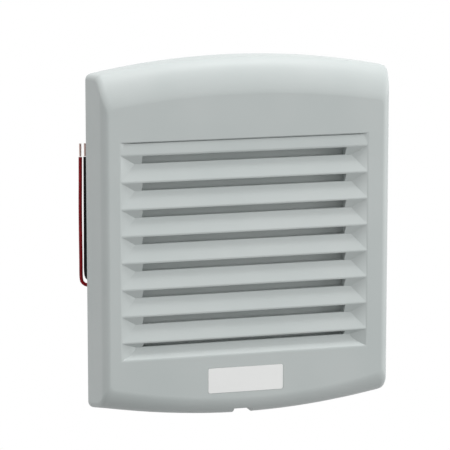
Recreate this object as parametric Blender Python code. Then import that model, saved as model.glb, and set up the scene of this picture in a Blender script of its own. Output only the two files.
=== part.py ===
"""Cabinet filter fan: louvred cover, filter mat, frame, gasket, 80 mm axial fan, guard, screws and leads.

The origin is the centre of the door cut-out on the door's front face.
The front faces -Y, +Z is up. Lengths are in metres.
"""

import math

import bmesh
import bpy
from mathutils import Vector

MM = 0.001

# The fan sets the spigot, the spigot the gasket and flange, and these the cover
FIT_GAP = 0.3 * MM
FAN_SIDE = 80.0 * MM
SPIGOT_MARGIN = 5.5 * MM
GASKET_CLEARANCE = 1.1 * MM
GASKET_WIDTH = 7.4 * MM
GASKET_EXTRA_TOP = 2.6 * MM
GASKET_EXTRA_BOTTOM = 4.6 * MM
FLANGE_MARGIN_SIDE = 1.3 * MM
FLANGE_MARGIN_TOP = 1.4 * MM
FLANGE_MARGIN_BOTTOM = 1.2 * MM
COVER_MARGIN_SIDE = 3.2 * MM
COVER_MARGIN_TOP = 12.75 * MM
COVER_MARGIN_BOTTOM = 5.95 * MM
SPIGOT_HALF = FAN_SIDE / 2 + SPIGOT_MARGIN
GASKET_INNER = SPIGOT_HALF + GASKET_CLEARANCE
GASKET_OUTER = GASKET_INNER + GASKET_WIDTH
GASKET_TOP = GASKET_OUTER + GASKET_EXTRA_TOP
GASKET_BOTTOM = -GASKET_OUTER - GASKET_EXTRA_BOTTOM
FLANGE_HALF = GASKET_OUTER + FLANGE_MARGIN_SIDE
FLANGE_TOP = GASKET_TOP + FLANGE_MARGIN_TOP
FLANGE_BOTTOM = GASKET_BOTTOM - FLANGE_MARGIN_BOTTOM

# Cover: a drafted shell with an arched top and bottom edge
COVER_WIDTH = 2.0 * (FLANGE_HALF + COVER_MARGIN_SIDE)
COVER_HEIGHT = FLANGE_TOP + COVER_MARGIN_TOP - FLANGE_BOTTOM + COVER_MARGIN_BOTTOM
COVER_RISE = (FLANGE_TOP + COVER_MARGIN_TOP + FLANGE_BOTTOM - COVER_MARGIN_BOTTOM) / 2
COVER_DEPTH = 15.5 * MM
COVER_STANDOFF = 2.0 * MM
COVER_WALL = 2.0 * MM
COVER_DRAFT = 2.75 * MM
CORNER_RADIUS = 2.55 * MM
SIDE_FILLET = 2.66 * MM
TOP_FILLET_DEPTH = 5.8 * MM
TOP_FILLET_HEIGHT = 13.28 * MM
BOTTOM_FILLET_DEPTH = 7.97 * MM
BOTTOM_FILLET_HEIGHT = 10.09 * MM
TOP_ARCH_REAR = 5.95 * MM
TOP_ARCH_FRONT = 5.35 * MM
BOTTOM_ARCH_REAR = 3.75 * MM
BOTTOM_ARCH_FRONT = 7.7 * MM

# Louvres, counted from the top lip downwards
LIP_TOP = 36.2 * MM
LOUVRE_PITCH = 10.12 * MM
LOUVRE_COUNT = 8
LOUVRE_RECESS = 2.2 * MM
LOUVRE_GAP = 3.3 * MM
LAST_GAP = 2.0 * MM
LAST_COVE = 6.9 * MM
HEAD_STRIP = 4.55 * MM
HEAD_RECESS = 0.45 * MM
GROOVE_WIDTH = 0.4 * MM
GROOVE_DEPTH = 1.3 * MM
WINDOW_STRIP = 10.3 * MM
WINDOW_HALF = COVER_WIDTH / 2 - WINDOW_STRIP
WINDOW_NARROWING = 5.9 * MM
PANEL_BORDER = 2.2 * MM
PANEL_DEPTH = 4.0 * MM
SLOT_END = 8.5 * MM
SLOT_HALF = WINDOW_HALF - SLOT_END
SLOT_MARGIN = 0.15 * MM
SLOT_LIP = 0.5 * MM
LIP_ROUNDING = 0.4 * MM
BAFFLE_DEPTH = 6.0 * MM
BAFFLE_THICKNESS = 1.2 * MM
BAFFLE_RISE = 1.2 * MM
BAFFLE_DROP = 4.6 * MM
WEB_WIDTH = 1.4 * MM
WEB_END = 0.2 * MM

# Finger notch and latch bead at the cover's bottom edge
NOTCH_HEIGHT = 2.65 * MM
NOTCH_TOP = COVER_RISE - COVER_HEIGHT / 2 + NOTCH_HEIGHT
NOTCH_HALF_TOP = 2.55 * MM
NOTCH_HALF_BOTTOM = 3.4 * MM
NOTCH_INNER_END = -8.6 * MM
BEAD_HALF = 9.0 * MM
BEAD_HEIGHT = 0.9 * MM
BEAD_FRONT = -7.4 * MM
BEAD_BACK = -5.6 * MM

# Hinge under the cover's top edge
HINGE_Y = -8.0 * MM
HINGE_DROP = 5.05 * MM
HINGE_Z = COVER_HEIGHT / 2 + COVER_RISE - HINGE_DROP
PIN_RADIUS = 1.0 * MM
PIN_BORE_CLEARANCE = 0.08 * MM
KNUCKLE_RADIUS = 1.9 * MM
LUG_INNER = 13.5 * MM
LUG_OUTER = 15.5 * MM
EAR_INNER = 15.8 * MM
EAR_OUTER = 18.8 * MM

# Frame
FLANGE_THICKNESS = 2.5 * MM
SPIGOT_WALL = 2.0 * MM
SPIGOT_END = 12.0 * MM
REAR_PLATE = 2.0 * MM
BORE_WALL = 2.0 * MM
BORE_RADIUS = FAN_SIDE / 2 - BORE_WALL
AIR_RADIUS = BORE_RADIUS
RIM_HEIGHT = 2.0 * MM
GRID_FRONT = 2.8 * MM
GRID_BACK = 4.8 * MM
GRID_RIB = 1.6 * MM
GRID_PITCH = 14.5 * MM
TONGUE_PLACES = (-24.0 * MM, 24.0 * MM)
TONGUE_HALF = 4.0 * MM
TONGUE_SLIT = 1.2 * MM
HOOK_HALF = 6.0 * MM
BOSS_RADIUS = 3.3 * MM
BOSS_FRONT = 4.4 * MM
PILOT_RADIUS = 1.55 * MM

# Filter mat
MAT_CLEARANCE = 0.4 * MM
MAT_HALF = SPIGOT_HALF - SPIGOT_WALL - MAT_CLEARANCE
MAT_FRONT = -5.6 * MM

# Fan
FAN_DEPTH = 25.0 * MM
FAN_FRONT = SPIGOT_END + FIT_GAP
FAN_BACK = FAN_FRONT + FAN_DEPTH
FAN_HOLE_INSET = 4.25 * MM
FAN_HOLE_PLACE = FAN_SIDE / 2 - FAN_HOLE_INSET
FAN_HOLE_RADIUS = 2.15 * MM
FAN_CORNER = 4.0 * MM
BARREL_WALL = 1.8 * MM
BARREL_RADIUS = BORE_RADIUS + BARREL_WALL
FAN_PLATE = 3.7 * MM
MOTOR_BASE_RADIUS = 17.5 * MM
MOTOR_BASE_HEIGHT = 2.4 * MM
MOTOR_BASE_FRONT = FAN_BACK - MOTOR_BASE_HEIGHT
STRUT_HEIGHT = 2.9 * MM
STRUT_FRONT = FAN_BACK - STRUT_HEIGHT
STRUT_WIDTH = 2.6 * MM
TUBE_RADIUS = 5.0 * MM
TUBE_FRONT = 18.9 * MM
BEARING_SEAT = 4.06 * MM
SHOULDER_RADIUS = 3.2 * MM

# Impeller and motor
HUB_RADIUS = 17.0 * MM
HUB_FRONT = 14.4 * MM
HUB_BACK = 33.0 * MM
HUB_WALL = 1.5 * MM
BLADE_COUNT = 7
TIP_CLEARANCE = 1.1 * MM
BLADE_TIP = BORE_RADIUS - TIP_CLEARANCE
BLADE_MIDDLE = 23.6 * MM
SHAFT_RADIUS = 1.5 * MM
SHAFT_RUNNING_CLEARANCE = 0.08 * MM
BEARING_RADIUS = 3.97 * MM
BEARING_WIDTH = 4.0 * MM
FRONT_BEARING_FRONT = 19.4 * MM
REAR_BEARING_FRONT = 29.5 * MM
RING_FRONT = 34.25 * MM
RING_THICKNESS = 0.5 * MM
CORE_RADIUS = 11.6 * MM
CORE_FRONT = 22.0 * MM
CORE_BACK = 29.0 * MM
BOARD_FRONT = 33.4 * MM
BOARD_BACK = 34.6 * MM

# Guard and screws
WIRE_RADIUS = 0.8 * MM
GUARD_OUTER = BORE_RADIUS + 1.0 * MM
GUARD_INNER = 10.0 * MM
GUARD_RING_COUNT = 5
GUARD_SPOKE_Y = FAN_BACK + FIT_GAP + WIRE_RADIUS
GUARD_RING_Y = GUARD_SPOKE_Y + 1.2 * MM
EYE_RADIUS = 2.9 * MM
SCREW_RADIUS = 1.4 * MM
SCREW_HEAD_RADIUS = 3.1 * MM
SCREW_HEAD_FRONT = GUARD_SPOKE_Y + WIRE_RADIUS + FIT_GAP
SCREW_HEAD_HEIGHT = 1.9 * MM
SCREW_TIP = 7.0 * MM

# Leads: route points as (x, z) at one depth
LEAD_RADIUS = 0.7 * MM
LEAD_Y = 35.6 * MM
STRAND_RADIUS = 0.5 * MM
STRAND_LENGTH = 5.0 * MM
STRAND_SINK = 0.3 * MM
LEAD_POINTS = 72
CHANNEL_ANGLE = math.radians(210.0)
CHANNEL_HALF = 1.9 * MM
CHANNEL_WALL = 0.8 * MM
CHANNEL_FLOOR = 34.7 * MM
NOTCH_LEAD_TOP = -18.9 * MM
NOTCH_LEAD_BOTTOM = -23.9 * MM
RED_ROUTE = (
    (-8.62, -6.07), (-20.31, -12.82), (-32.43, -19.82), (-35.9, -21.75), (-39.3, -22.6), (-44.0, -22.7),
    (-49.1, -22.7), (-51.2, -21.85), (-52.08, -19.7), (-52.15, -12.0), (-52.2, -2.0), (-52.2, 9.0),
    (-52.08, 19.0), (-52.0, 28.0),
)
BLACK_ROUTE = (
    (-9.57, -4.43), (-21.26, -11.18), (-33.3, -18.13), (-36.6, -19.9), (-40.0, -20.75), (-43.8, -20.85),
    (-47.3, -20.8), (-49.4, -19.95), (-50.25, -17.8), (-50.3, -10.0), (-50.25, 0.0), (-50.2, 10.0),
    (-50.15, 19.0), (-50.1, 28.0),
)


def clear_scene():
    for found in list(bpy.data.objects):
        bpy.data.objects.remove(found)


def make_material(name, colour, roughness, metallic=0.0):
    material = bpy.data.materials.new(name)
    material.use_nodes = True
    shader = material.node_tree.nodes["Principled BSDF"]
    shader.inputs["Base Color"].default_value = (*colour, 1.0)
    shader.inputs["Roughness"].default_value = roughness
    shader.inputs["Metallic"].default_value = metallic
    material.diffuse_color = (*colour, 1.0)
    return material


def make_object(name, shape):
    """An object from points and faces, with its normals pointing outwards."""
    points, faces = shape
    mesh = bpy.data.meshes.new(name)
    mesh.from_pydata([Vector(point) for point in points], [], faces)
    work = bmesh.new()
    work.from_mesh(mesh)
    bmesh.ops.recalc_face_normals(work, faces=work.faces)
    work.to_mesh(mesh)
    work.free()
    made = bpy.data.objects.new(name, mesh)
    bpy.context.scene.collection.objects.link(made)
    return made


def finish(made, material, angle=35.0):
    made.data.materials.clear()
    made.data.materials.append(material)
    made.data.shade_smooth()
    made.data.set_sharp_from_angle(angle=math.radians(angle))
    return made


def combine(target, shape, operation):
    """Joins a shape to the target, or cuts it away."""
    tool = make_object("tool", shape)
    tool.hide_render = True
    tool.display_type = "WIRE"
    modifier = target.modifiers.new("shape", "BOOLEAN")
    modifier.operation = operation
    modifier.solver = "EXACT"
    modifier.object = tool
    bpy.context.view_layer.update()
    graph = bpy.context.evaluated_depsgraph_get()
    mesh = bpy.data.meshes.new_from_object(target.evaluated_get(graph))
    target.modifiers.remove(modifier)
    before = target.data
    target.data = mesh
    bpy.data.meshes.remove(before)
    bpy.data.objects.remove(tool)
    return target


def join(target, *shapes):
    for shape in shapes:
        combine(target, shape, "UNION")
    return target


def cut(target, *shapes):
    for shape in shapes:
        combine(target, shape, "DIFFERENCE")
    return target


def together(*shapes):
    """Several separate shapes as one list of points and faces."""
    points = []
    faces = []
    for more_points, more_faces in shapes:
        first = len(points)
        points.extend(more_points)
        faces.extend([tuple(first + index for index in face) for face in more_faces])
    return points, faces


def loft(rings, closed=False):
    """Quads between rings of equal length, with flat ends unless the row of rings is closed."""
    count = len(rings[0])
    points = [point for ring in rings for point in ring]
    faces = []
    last = len(rings) if closed else len(rings) - 1
    for row in range(last):
        start = row * count
        following = ((row + 1) % len(rings)) * count
        for index in range(count):
            beside = (index + 1) % count
            faces.append((start + index, start + beside, following + beside, following + index))
    if not closed:
        faces.append(tuple(range(count)))
        faces.append(tuple(range((len(rings) - 1) * count, len(rings) * count)))
    return points, faces


def block(low, high):
    (x0, y0, z0), (x1, y1, z1) = low, high
    rings = [[(x0, y, z0), (x1, y, z0), (x1, y, z1), (x0, y, z1)] for y in (y0, y1)]
    return loft(rings)


def prism_along_y(outline, front, back):
    return loft([[(x, y, z) for x, z in outline] for y in (front, back)])


def prism_along_x(outline, left, right):
    return loft([[(x, y, z) for y, z in outline] for x in (left, right)])


def circle(radius, segments, x=0.0, z=0.0, phase=0.0):
    turn = 2.0 * math.pi / segments
    return [
        (x + radius * math.cos(phase + turn * index), z + radius * math.sin(phase + turn * index))
        for index in range(segments)
    ]


def rounded_box(left, right, bottom, top, radius, steps=4):
    """Outline of a rectangle with round corners, anticlockwise."""
    outline = []
    corners = ((right, top, 0.0), (left, top, 0.5), (left, bottom, 1.0), (right, bottom, 1.5))
    for x, z, start in corners:
        centre_x = x - radius if x == right else x + radius
        centre_z = z - radius if z == top else z + radius
        for step in range(steps + 1):
            angle = math.pi * (start + 0.5 * step / steps)
            outline.append((centre_x + radius * math.cos(angle), centre_z + radius * math.sin(angle)))
    return outline


def turned(profile, segments, x=0.0, z=0.0):
    """A closed profile of (radius, y) points turned about an axis along Y; points at radius 0 become one."""
    points = []
    rows = []
    for radius, y in profile:
        if radius == 0.0:
            rows.append([len(points)] * segments)
            points.append((x, y, z))
        else:
            rows.append(list(range(len(points), len(points) + segments)))
            points.extend([(cx, y, cz) for cx, cz in circle(radius, segments, x, z)])
    faces = []
    for row, indexes in enumerate(rows):
        following = rows[(row + 1) % len(rows)]
        if indexes[0] == indexes[1] and following[0] == following[1]:
            continue
        for index in range(segments):
            beside = (index + 1) % segments
            corners = (indexes[index], indexes[beside], following[beside], following[index])
            kept = tuple(dict.fromkeys(corners))
            faces.append(kept)
    return points, faces


def rod_along_x(left, right, radius, y, z, segments=24):
    return prism_along_x(circle(radius, segments, y, z), left, right)


def smooth_route(route, samples):
    """Points at even spacing on a smooth curve through a route's points."""
    spots = [Vector((x, 0.0, z)) for x, z in route]
    ends = [spots[0] * 2 - spots[1], *spots, spots[-1] * 2 - spots[-2]]
    dense = []
    for index in range(1, len(ends) - 2):
        before, here, there, after = ends[index - 1 : index + 3]
        for step in range(24):
            part = step / 24
            dense.append(
                0.5 * (
                    2.0 * here
                    + (there - before) * part
                    + (2.0 * before - 5.0 * here + 4.0 * there - after) * part**2
                    + (3.0 * here - before - 3.0 * there + after) * part**3
                )
            )
    dense.append(spots[-1])
    lengths = [0.0]
    for first, second in zip(dense, dense[1:]):
        lengths.append(lengths[-1] + (second - first).length)
    even = []
    at = 0
    for index in range(samples):
        wanted = lengths[-1] * index / (samples - 1)
        while at < len(dense) - 2 and lengths[at + 1] < wanted:
            at += 1
        share = (wanted - lengths[at]) / (lengths[at + 1] - lengths[at])
        even.append(dense[at].lerp(dense[at + 1], share))
    return even


# Cover


def inset_at(depth, whole, fillet_depth, fillet_height):
    """How far an elliptical edge fillet has moved the wall inwards at a depth."""
    start = whole - fillet_depth
    if depth <= start:
        return 0.0
    share = min((depth - start) / fillet_depth, 1.0)
    return fillet_height * (1.0 - math.sqrt(max(1.0 - share * share, 0.0)))


def cover_outline(depth, wall):
    """The cover's outline in X and Z at a depth from the rear rim, moved inwards by the wall."""
    whole = COVER_DEPTH - wall
    part = depth / COVER_DEPTH
    half = COVER_WIDTH / 2 - wall - COVER_DRAFT * part - inset_at(
        depth, whole, SIDE_FILLET - wall, SIDE_FILLET - wall
    )
    top = COVER_HEIGHT / 2 - wall - inset_at(depth, whole, TOP_FILLET_DEPTH - wall, TOP_FILLET_HEIGHT - wall)
    bottom = -COVER_HEIGHT / 2 + wall
    bottom += inset_at(depth, whole, BOTTOM_FILLET_DEPTH - wall, BOTTOM_FILLET_HEIGHT - wall)
    top_arch = TOP_ARCH_REAR + (TOP_ARCH_FRONT - TOP_ARCH_REAR) * part
    bottom_arch = BOTTOM_ARCH_REAR + (BOTTOM_ARCH_FRONT - BOTTOM_ARCH_REAR) * part
    radius = CORNER_RADIUS - 0.8 * wall
    reach = (COVER_WIDTH / 2) ** 2
    outline = []
    for sign, level, arch in ((1, top, top_arch), (-1, bottom, bottom_arch)):
        slope = math.atan(2.0 * arch * (half - radius) / reach)
        contact = half - radius + radius * math.sin(slope)
        centre = abs(level) - arch * contact**2 / reach - radius * math.cos(slope)
        corner = []
        for step in range(4):
            angle = (math.pi / 2 - slope) * step / 3
            corner.append((half - radius + radius * math.cos(angle), centre + radius * math.sin(angle)))
        arc = []
        for step in range(1, 11):
            x = contact * (1.0 - 2.0 * step / 11)
            arc.append((x, abs(level) - arch * x * x / reach))
        mirrored = [(-x, z) for x, z in reversed(corner)]
        side = [(sign * x, sign * z) for x, z in corner + arc + mirrored]
        outline.extend(side)
    return outline


def cover_rings(wall, rear):
    """Rings from the rear to the front face, close together where the fillets turn."""
    whole = COVER_DEPTH - wall
    deepest = BOTTOM_FILLET_DEPTH - wall
    depths = [rear]
    turns = (0, 35, 60, 78, 90) if wall else (0, 15, 28, 40, 51, 61, 70, 78, 84, 87.5, 90)
    for degrees in turns:
        depths.append(whole - deepest * (1.0 - math.sin(math.radians(degrees))))
    rings = []
    for depth in depths:
        y = -COVER_STANDOFF - depth
        rings.append([(x, y, z + COVER_RISE) for x, z in cover_outline(depth, wall)])
    return rings


def louvre_pocket(top, bottom, shelf, front, taper=WINDOW_NARROWING / LOUVRE_RECESS):
    """The space in front of one slat, tapering inwards at both ends."""
    lead = 1.0 * MM
    profile = [(-lead, bottom), (0.0, bottom), *shelf, (-lead, top)]
    rings = []
    for side in (-1, 1):
        ring = []
        for depth, z in profile:
            inward = taper * max(depth, 0.0)
            ring.append((side * (WINDOW_HALF - inward), front + depth, z))
        rings.append(ring)
    return loft(rings)


def make_cover(material):
    front = -COVER_STANDOFF - COVER_DEPTH
    cover = make_object("front_cover", loft(cover_rings(0.0, 0.0)))
    cut(cover, loft(cover_rings(COVER_WALL, -1.0 * MM)))
    lips = [LIP_TOP - LOUVRE_PITCH * index for index in range(LOUVRE_COUNT)]
    window_top = LIP_TOP + HEAD_STRIP
    window_bottom = lips[-1] - LAST_COVE
    panel = block(
        (-WINDOW_HALF - PANEL_BORDER, front + 1.2 * MM, window_bottom - PANEL_BORDER),
        (WINDOW_HALF + PANEL_BORDER, front + PANEL_DEPTH, window_top + PANEL_BORDER),
    )
    join(cover, panel)
    groove = window_top - GROOVE_WIDTH
    shelf = [(HEAD_RECESS, groove), (GROOVE_DEPTH, groove), (GROOVE_DEPTH, window_top)]
    pockets = [louvre_pocket(window_top, lips[0], shelf, front, 0.0)]
    for upper, lower in zip(lips, lips[1:]):
        shelf = [(LOUVRE_RECESS, upper - LOUVRE_GAP), (0.0, upper)]
        pockets.append(louvre_pocket(upper, lower, shelf, front))
    cove_top = lips[-1] - LAST_GAP
    cove = LAST_COVE - LAST_GAP
    shelf = [
        (0.42 * LOUVRE_RECESS, cove_top - 0.74 * cove),
        (0.76 * LOUVRE_RECESS, cove_top - 0.40 * cove),
        (LOUVRE_RECESS, cove_top),
        (0.0, lips[-1]),
    ]
    pockets.append(louvre_pocket(lips[-1], window_bottom, shelf, front))
    for pocket in pockets:
        cut(cover, pocket)
    round_lips(cover, lips, front)
    slots = []
    for index, lip in enumerate(lips):
        gap = LAST_GAP if index == LOUVRE_COUNT - 1 else LOUVRE_GAP
        slots.append(
            block(
                (-SLOT_HALF, front - 0.5 * MM, lip - gap + SLOT_MARGIN),
                (SLOT_HALF, front + PANEL_DEPTH + 0.5 * MM, lip - SLOT_LIP),
            )
        )
    cut(cover, together(*slots))
    webs = []
    for side in (-1, 1):
        inner, outer = sorted((side * (SLOT_HALF + WEB_END), side * (SLOT_HALF + WEB_END + WEB_WIDTH)))
        webs.append(
            block(
                (inner, front + PANEL_DEPTH - 0.4 * MM, lips[-1] - 4.0 * MM),
                (outer, front + BAFFLE_DEPTH + 0.4 * MM, lips[0] + 2.4 * MM),
            )
        )
    join(cover, together(*webs))
    baffles = []
    for lip in lips:
        baffles.append(
            block(
                (-SLOT_HALF - 1.6 * MM, front + BAFFLE_DEPTH, lip - BAFFLE_DROP),
                (SLOT_HALF + 1.6 * MM, front + BAFFLE_DEPTH + BAFFLE_THICKNESS, lip + BAFFLE_RISE),
            )
        )
    join(cover, together(*baffles))
    trapezium = [
        (-NOTCH_HALF_TOP, NOTCH_TOP),
        (NOTCH_HALF_TOP, NOTCH_TOP),
        (NOTCH_HALF_BOTTOM, NOTCH_TOP - 5.0 * MM),
        (-NOTCH_HALF_BOTTOM, NOTCH_TOP - 5.0 * MM),
    ]
    cut(cover, prism_along_y(trapezium, front - 1.0 * MM, NOTCH_INNER_END))
    floor = -COVER_HEIGHT / 2 + COVER_RISE + COVER_WALL
    crest = floor + BEAD_HEIGHT
    bead = [
        (BEAD_FRONT - 1.2 * MM, floor - 0.7 * MM),
        (BEAD_FRONT, crest),
        (BEAD_BACK, crest),
        (BEAD_BACK + 0.5 * MM, floor - 0.7 * MM),
    ]
    join(cover, prism_along_x(bead, -BEAD_HALF, BEAD_HALF))
    lugs = []
    pins = []
    for side in (-1, 1):
        inner, outer = sorted((side * LUG_INNER, side * LUG_OUTER))
        arc = [(HINGE_Y + y, HINGE_Z + z) for y, z in lug_profile(KNUCKLE_RADIUS, 3.2 * MM)]
        lugs.append(prism_along_x(arc, inner, outer))
        start, end = sorted((side * (LUG_OUTER - 0.6 * MM), side * (EAR_OUTER + 0.3 * MM)))
        pins.append(rod_along_x(start, end, PIN_RADIUS, HINGE_Y, HINGE_Z))
    join(cover, together(*lugs), together(*pins))
    place_origin(cover, Vector((0.0, HINGE_Y, HINGE_Z)))
    return finish(cover, material)


def lug_profile(radius, height):
    """A round end below, carried up to a straight edge."""
    points = []
    for step in range(13):
        angle = math.pi + math.pi * step / 12
        points.append((radius * math.cos(angle), radius * math.sin(angle)))
    points.append((radius, height))
    points.append((-radius, height))
    return points


def round_lips(cover, lips, front):
    """A small rounding along each louvre's lip in the front face."""
    work = bmesh.new()
    work.from_mesh(cover.data)
    chosen = []
    for edge in work.edges:
        ends = [vertex.co for vertex in edge.verts]
        if any(abs(end.y - front) > 1e-6 or abs(end.x) > WINDOW_HALF + 1e-6 for end in ends):
            continue
        if abs(ends[0].z - ends[1].z) > 1e-6 or min(abs(ends[0].z - lip) for lip in lips) > 1e-6:
            continue
        chosen.append(edge)
    bmesh.ops.bevel(work, geom=chosen, offset=LIP_ROUNDING, segments=2, profile=0.5, affect="EDGES")
    work.to_mesh(cover.data)
    work.free()


def place_origin(made, spot):
    for vertex in made.data.vertices:
        vertex.co -= spot
    made.location = spot


# Frame


def make_frame(material):
    flange_front = -COVER_STANDOFF - FLANGE_THICKNESS
    inner = SPIGOT_HALF - SPIGOT_WALL
    flange = rounded_box(-FLANGE_HALF, FLANGE_HALF, FLANGE_BOTTOM, FLANGE_TOP, 3.0 * MM)
    frame = make_object("base_frame", prism_along_y(flange, flange_front, -COVER_STANDOFF))
    spigot = rounded_box(-SPIGOT_HALF, SPIGOT_HALF, -SPIGOT_HALF, SPIGOT_HALF, 3.0 * MM)
    join(frame, prism_along_y(spigot, flange_front - RIM_HEIGHT, SPIGOT_END))
    hollow = rounded_box(-inner, inner, -inner, inner, 2.0 * MM)
    cut(frame, prism_along_y(hollow, flange_front - 5.0 * MM, SPIGOT_END - REAR_PLATE))
    cut(frame, prism_along_y(circle(AIR_RADIUS, 48), 0.0, SPIGOT_END + 1.0 * MM))
    add_grid(frame, inner)
    add_bosses(frame)
    add_tongues(frame)
    add_ears(frame)
    floor = COVER_RISE - COVER_HEIGHT / 2 + COVER_WALL
    latch = [
        (flange_front + 0.8 * MM, floor + 2.35 * MM),
        (flange_front + 0.8 * MM, floor + 4.55 * MM),
        (flange_front - 0.9 * MM, floor + 4.15 * MM),
        (flange_front - 5.0 * MM, floor + 3.45 * MM),
        (flange_front - 5.0 * MM, floor + 1.85 * MM),
        (flange_front - 4.4 * MM, floor + 1.15 * MM),
        (flange_front - 3.6 * MM, floor + 1.15 * MM),
        (flange_front - 3.4 * MM, floor + 2.15 * MM),
    ]
    join(frame, prism_along_x(latch, -HOOK_HALF, HOOK_HALF))
    return finish(frame, material)


def add_grid(frame, inner):
    bars = [-2 * GRID_PITCH, -GRID_PITCH, 0.0, GRID_PITCH, 2 * GRID_PITCH]
    reach = inner + 0.6 * MM
    upright = [
        block((place - GRID_RIB / 2, GRID_FRONT, -reach), (place + GRID_RIB / 2, GRID_BACK, reach))
        for place in bars
    ]
    level = [
        block(
            (-reach, GRID_FRONT + 0.3 * MM, place - GRID_RIB / 2),
            (reach, GRID_BACK - 0.3 * MM, place + GRID_RIB / 2),
        )
        for place in bars
    ]
    join(frame, together(*upright), together(*level))


def add_bosses(frame):
    bosses = []
    pilots = []
    for x in (-FAN_HOLE_PLACE, FAN_HOLE_PLACE):
        for z in (-FAN_HOLE_PLACE, FAN_HOLE_PLACE):
            outline = circle(BOSS_RADIUS, 16, x, z)
            bosses.append(prism_along_y(outline, BOSS_FRONT, SPIGOT_END - 0.6 * MM))
            pilots.append(
                prism_along_y(circle(PILOT_RADIUS, 12, x, z), BOSS_FRONT + 1.8 * MM, SPIGOT_END + 1.0 * MM)
            )
    join(frame, together(*bosses))
    cut(frame, together(*pilots))


def add_tongues(frame):
    """Snap tongues in the spigot's sides, each with three ratchet teeth on its outside."""
    teeth = (
        (1.8, -0.4), (1.8, 1.8), (3.0, 1.0), (3.0, 1.65), (4.2, 0.9), (4.2, 1.5), (9.0, 0.2), (9.0, -0.4),
    )
    wedges = []
    slits = []
    for side in (-1, 1):
        for place in TONGUE_PLACES:
            low, high = place - TONGUE_HALF, place + TONGUE_HALF
            rings = []
            for z in (low + 0.4 * MM, high - 0.4 * MM):
                rings.append([(side * (SPIGOT_HALF + out * MM), y * MM, z) for y, out in teeth])
            wedges.append(loft(rings))
            wall = sorted((side * (SPIGOT_HALF - SPIGOT_WALL - 1.0 * MM), side * (SPIGOT_HALF + 1.0 * MM)))
            path = (
                (low - TONGUE_SLIT, 0.4 * MM),
                (high + TONGUE_SLIT, 0.4 * MM),
                (high + TONGUE_SLIT, 9.2 * MM),
                (high, 9.2 * MM),
                (high, 1.4 * MM),
                (low, 1.4 * MM),
                (low, 9.2 * MM),
                (low - TONGUE_SLIT, 9.2 * MM),
            )
            slits.append(loft([[(x, y, z) for z, y in path] for x in wall]))
    cut(frame, together(*slits))
    join(frame, together(*wedges))


def add_ears(frame):
    """Two bearing ears that rise from the flange to the cover's hinge."""
    ears = []
    bores = []
    root = FLANGE_TOP - 3.0 * MM
    for side in (-1, 1):
        inner, outer = sorted((side * EAR_INNER, side * EAR_OUTER))
        arc = []
        for step in range(13):
            angle = math.pi * step / 12
            arc.append(
                (HINGE_Y + KNUCKLE_RADIUS * math.cos(angle), HINGE_Z + KNUCKLE_RADIUS * math.sin(angle))
            )
        stem = [
            (HINGE_Y - KNUCKLE_RADIUS, HINGE_Z - 4.0 * MM),
            (HINGE_Y - KNUCKLE_RADIUS, FLANGE_TOP - 1.5 * MM),
            (-COVER_STANDOFF - FLANGE_THICKNESS - 0.6 * MM, root - 1.4 * MM),
            (-COVER_STANDOFF - 0.6 * MM, root - 1.4 * MM),
            (-COVER_STANDOFF - 0.6 * MM, FLANGE_TOP - 0.8 * MM),
            (HINGE_Y + 1.5 * MM, FLANGE_TOP - 0.6 * MM),
            (HINGE_Y + 1.2 * MM, HINGE_Z - 2.6 * MM),
        ]
        ears.append(prism_along_x(arc + stem, inner, outer))
        radius = PIN_RADIUS + PIN_BORE_CLEARANCE
        bores.append(rod_along_x(inner - 1.0 * MM, outer + 1.0 * MM, radius, HINGE_Y, HINGE_Z))
    join(frame, together(*ears))
    cut(frame, together(*bores))


# Fan


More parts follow.
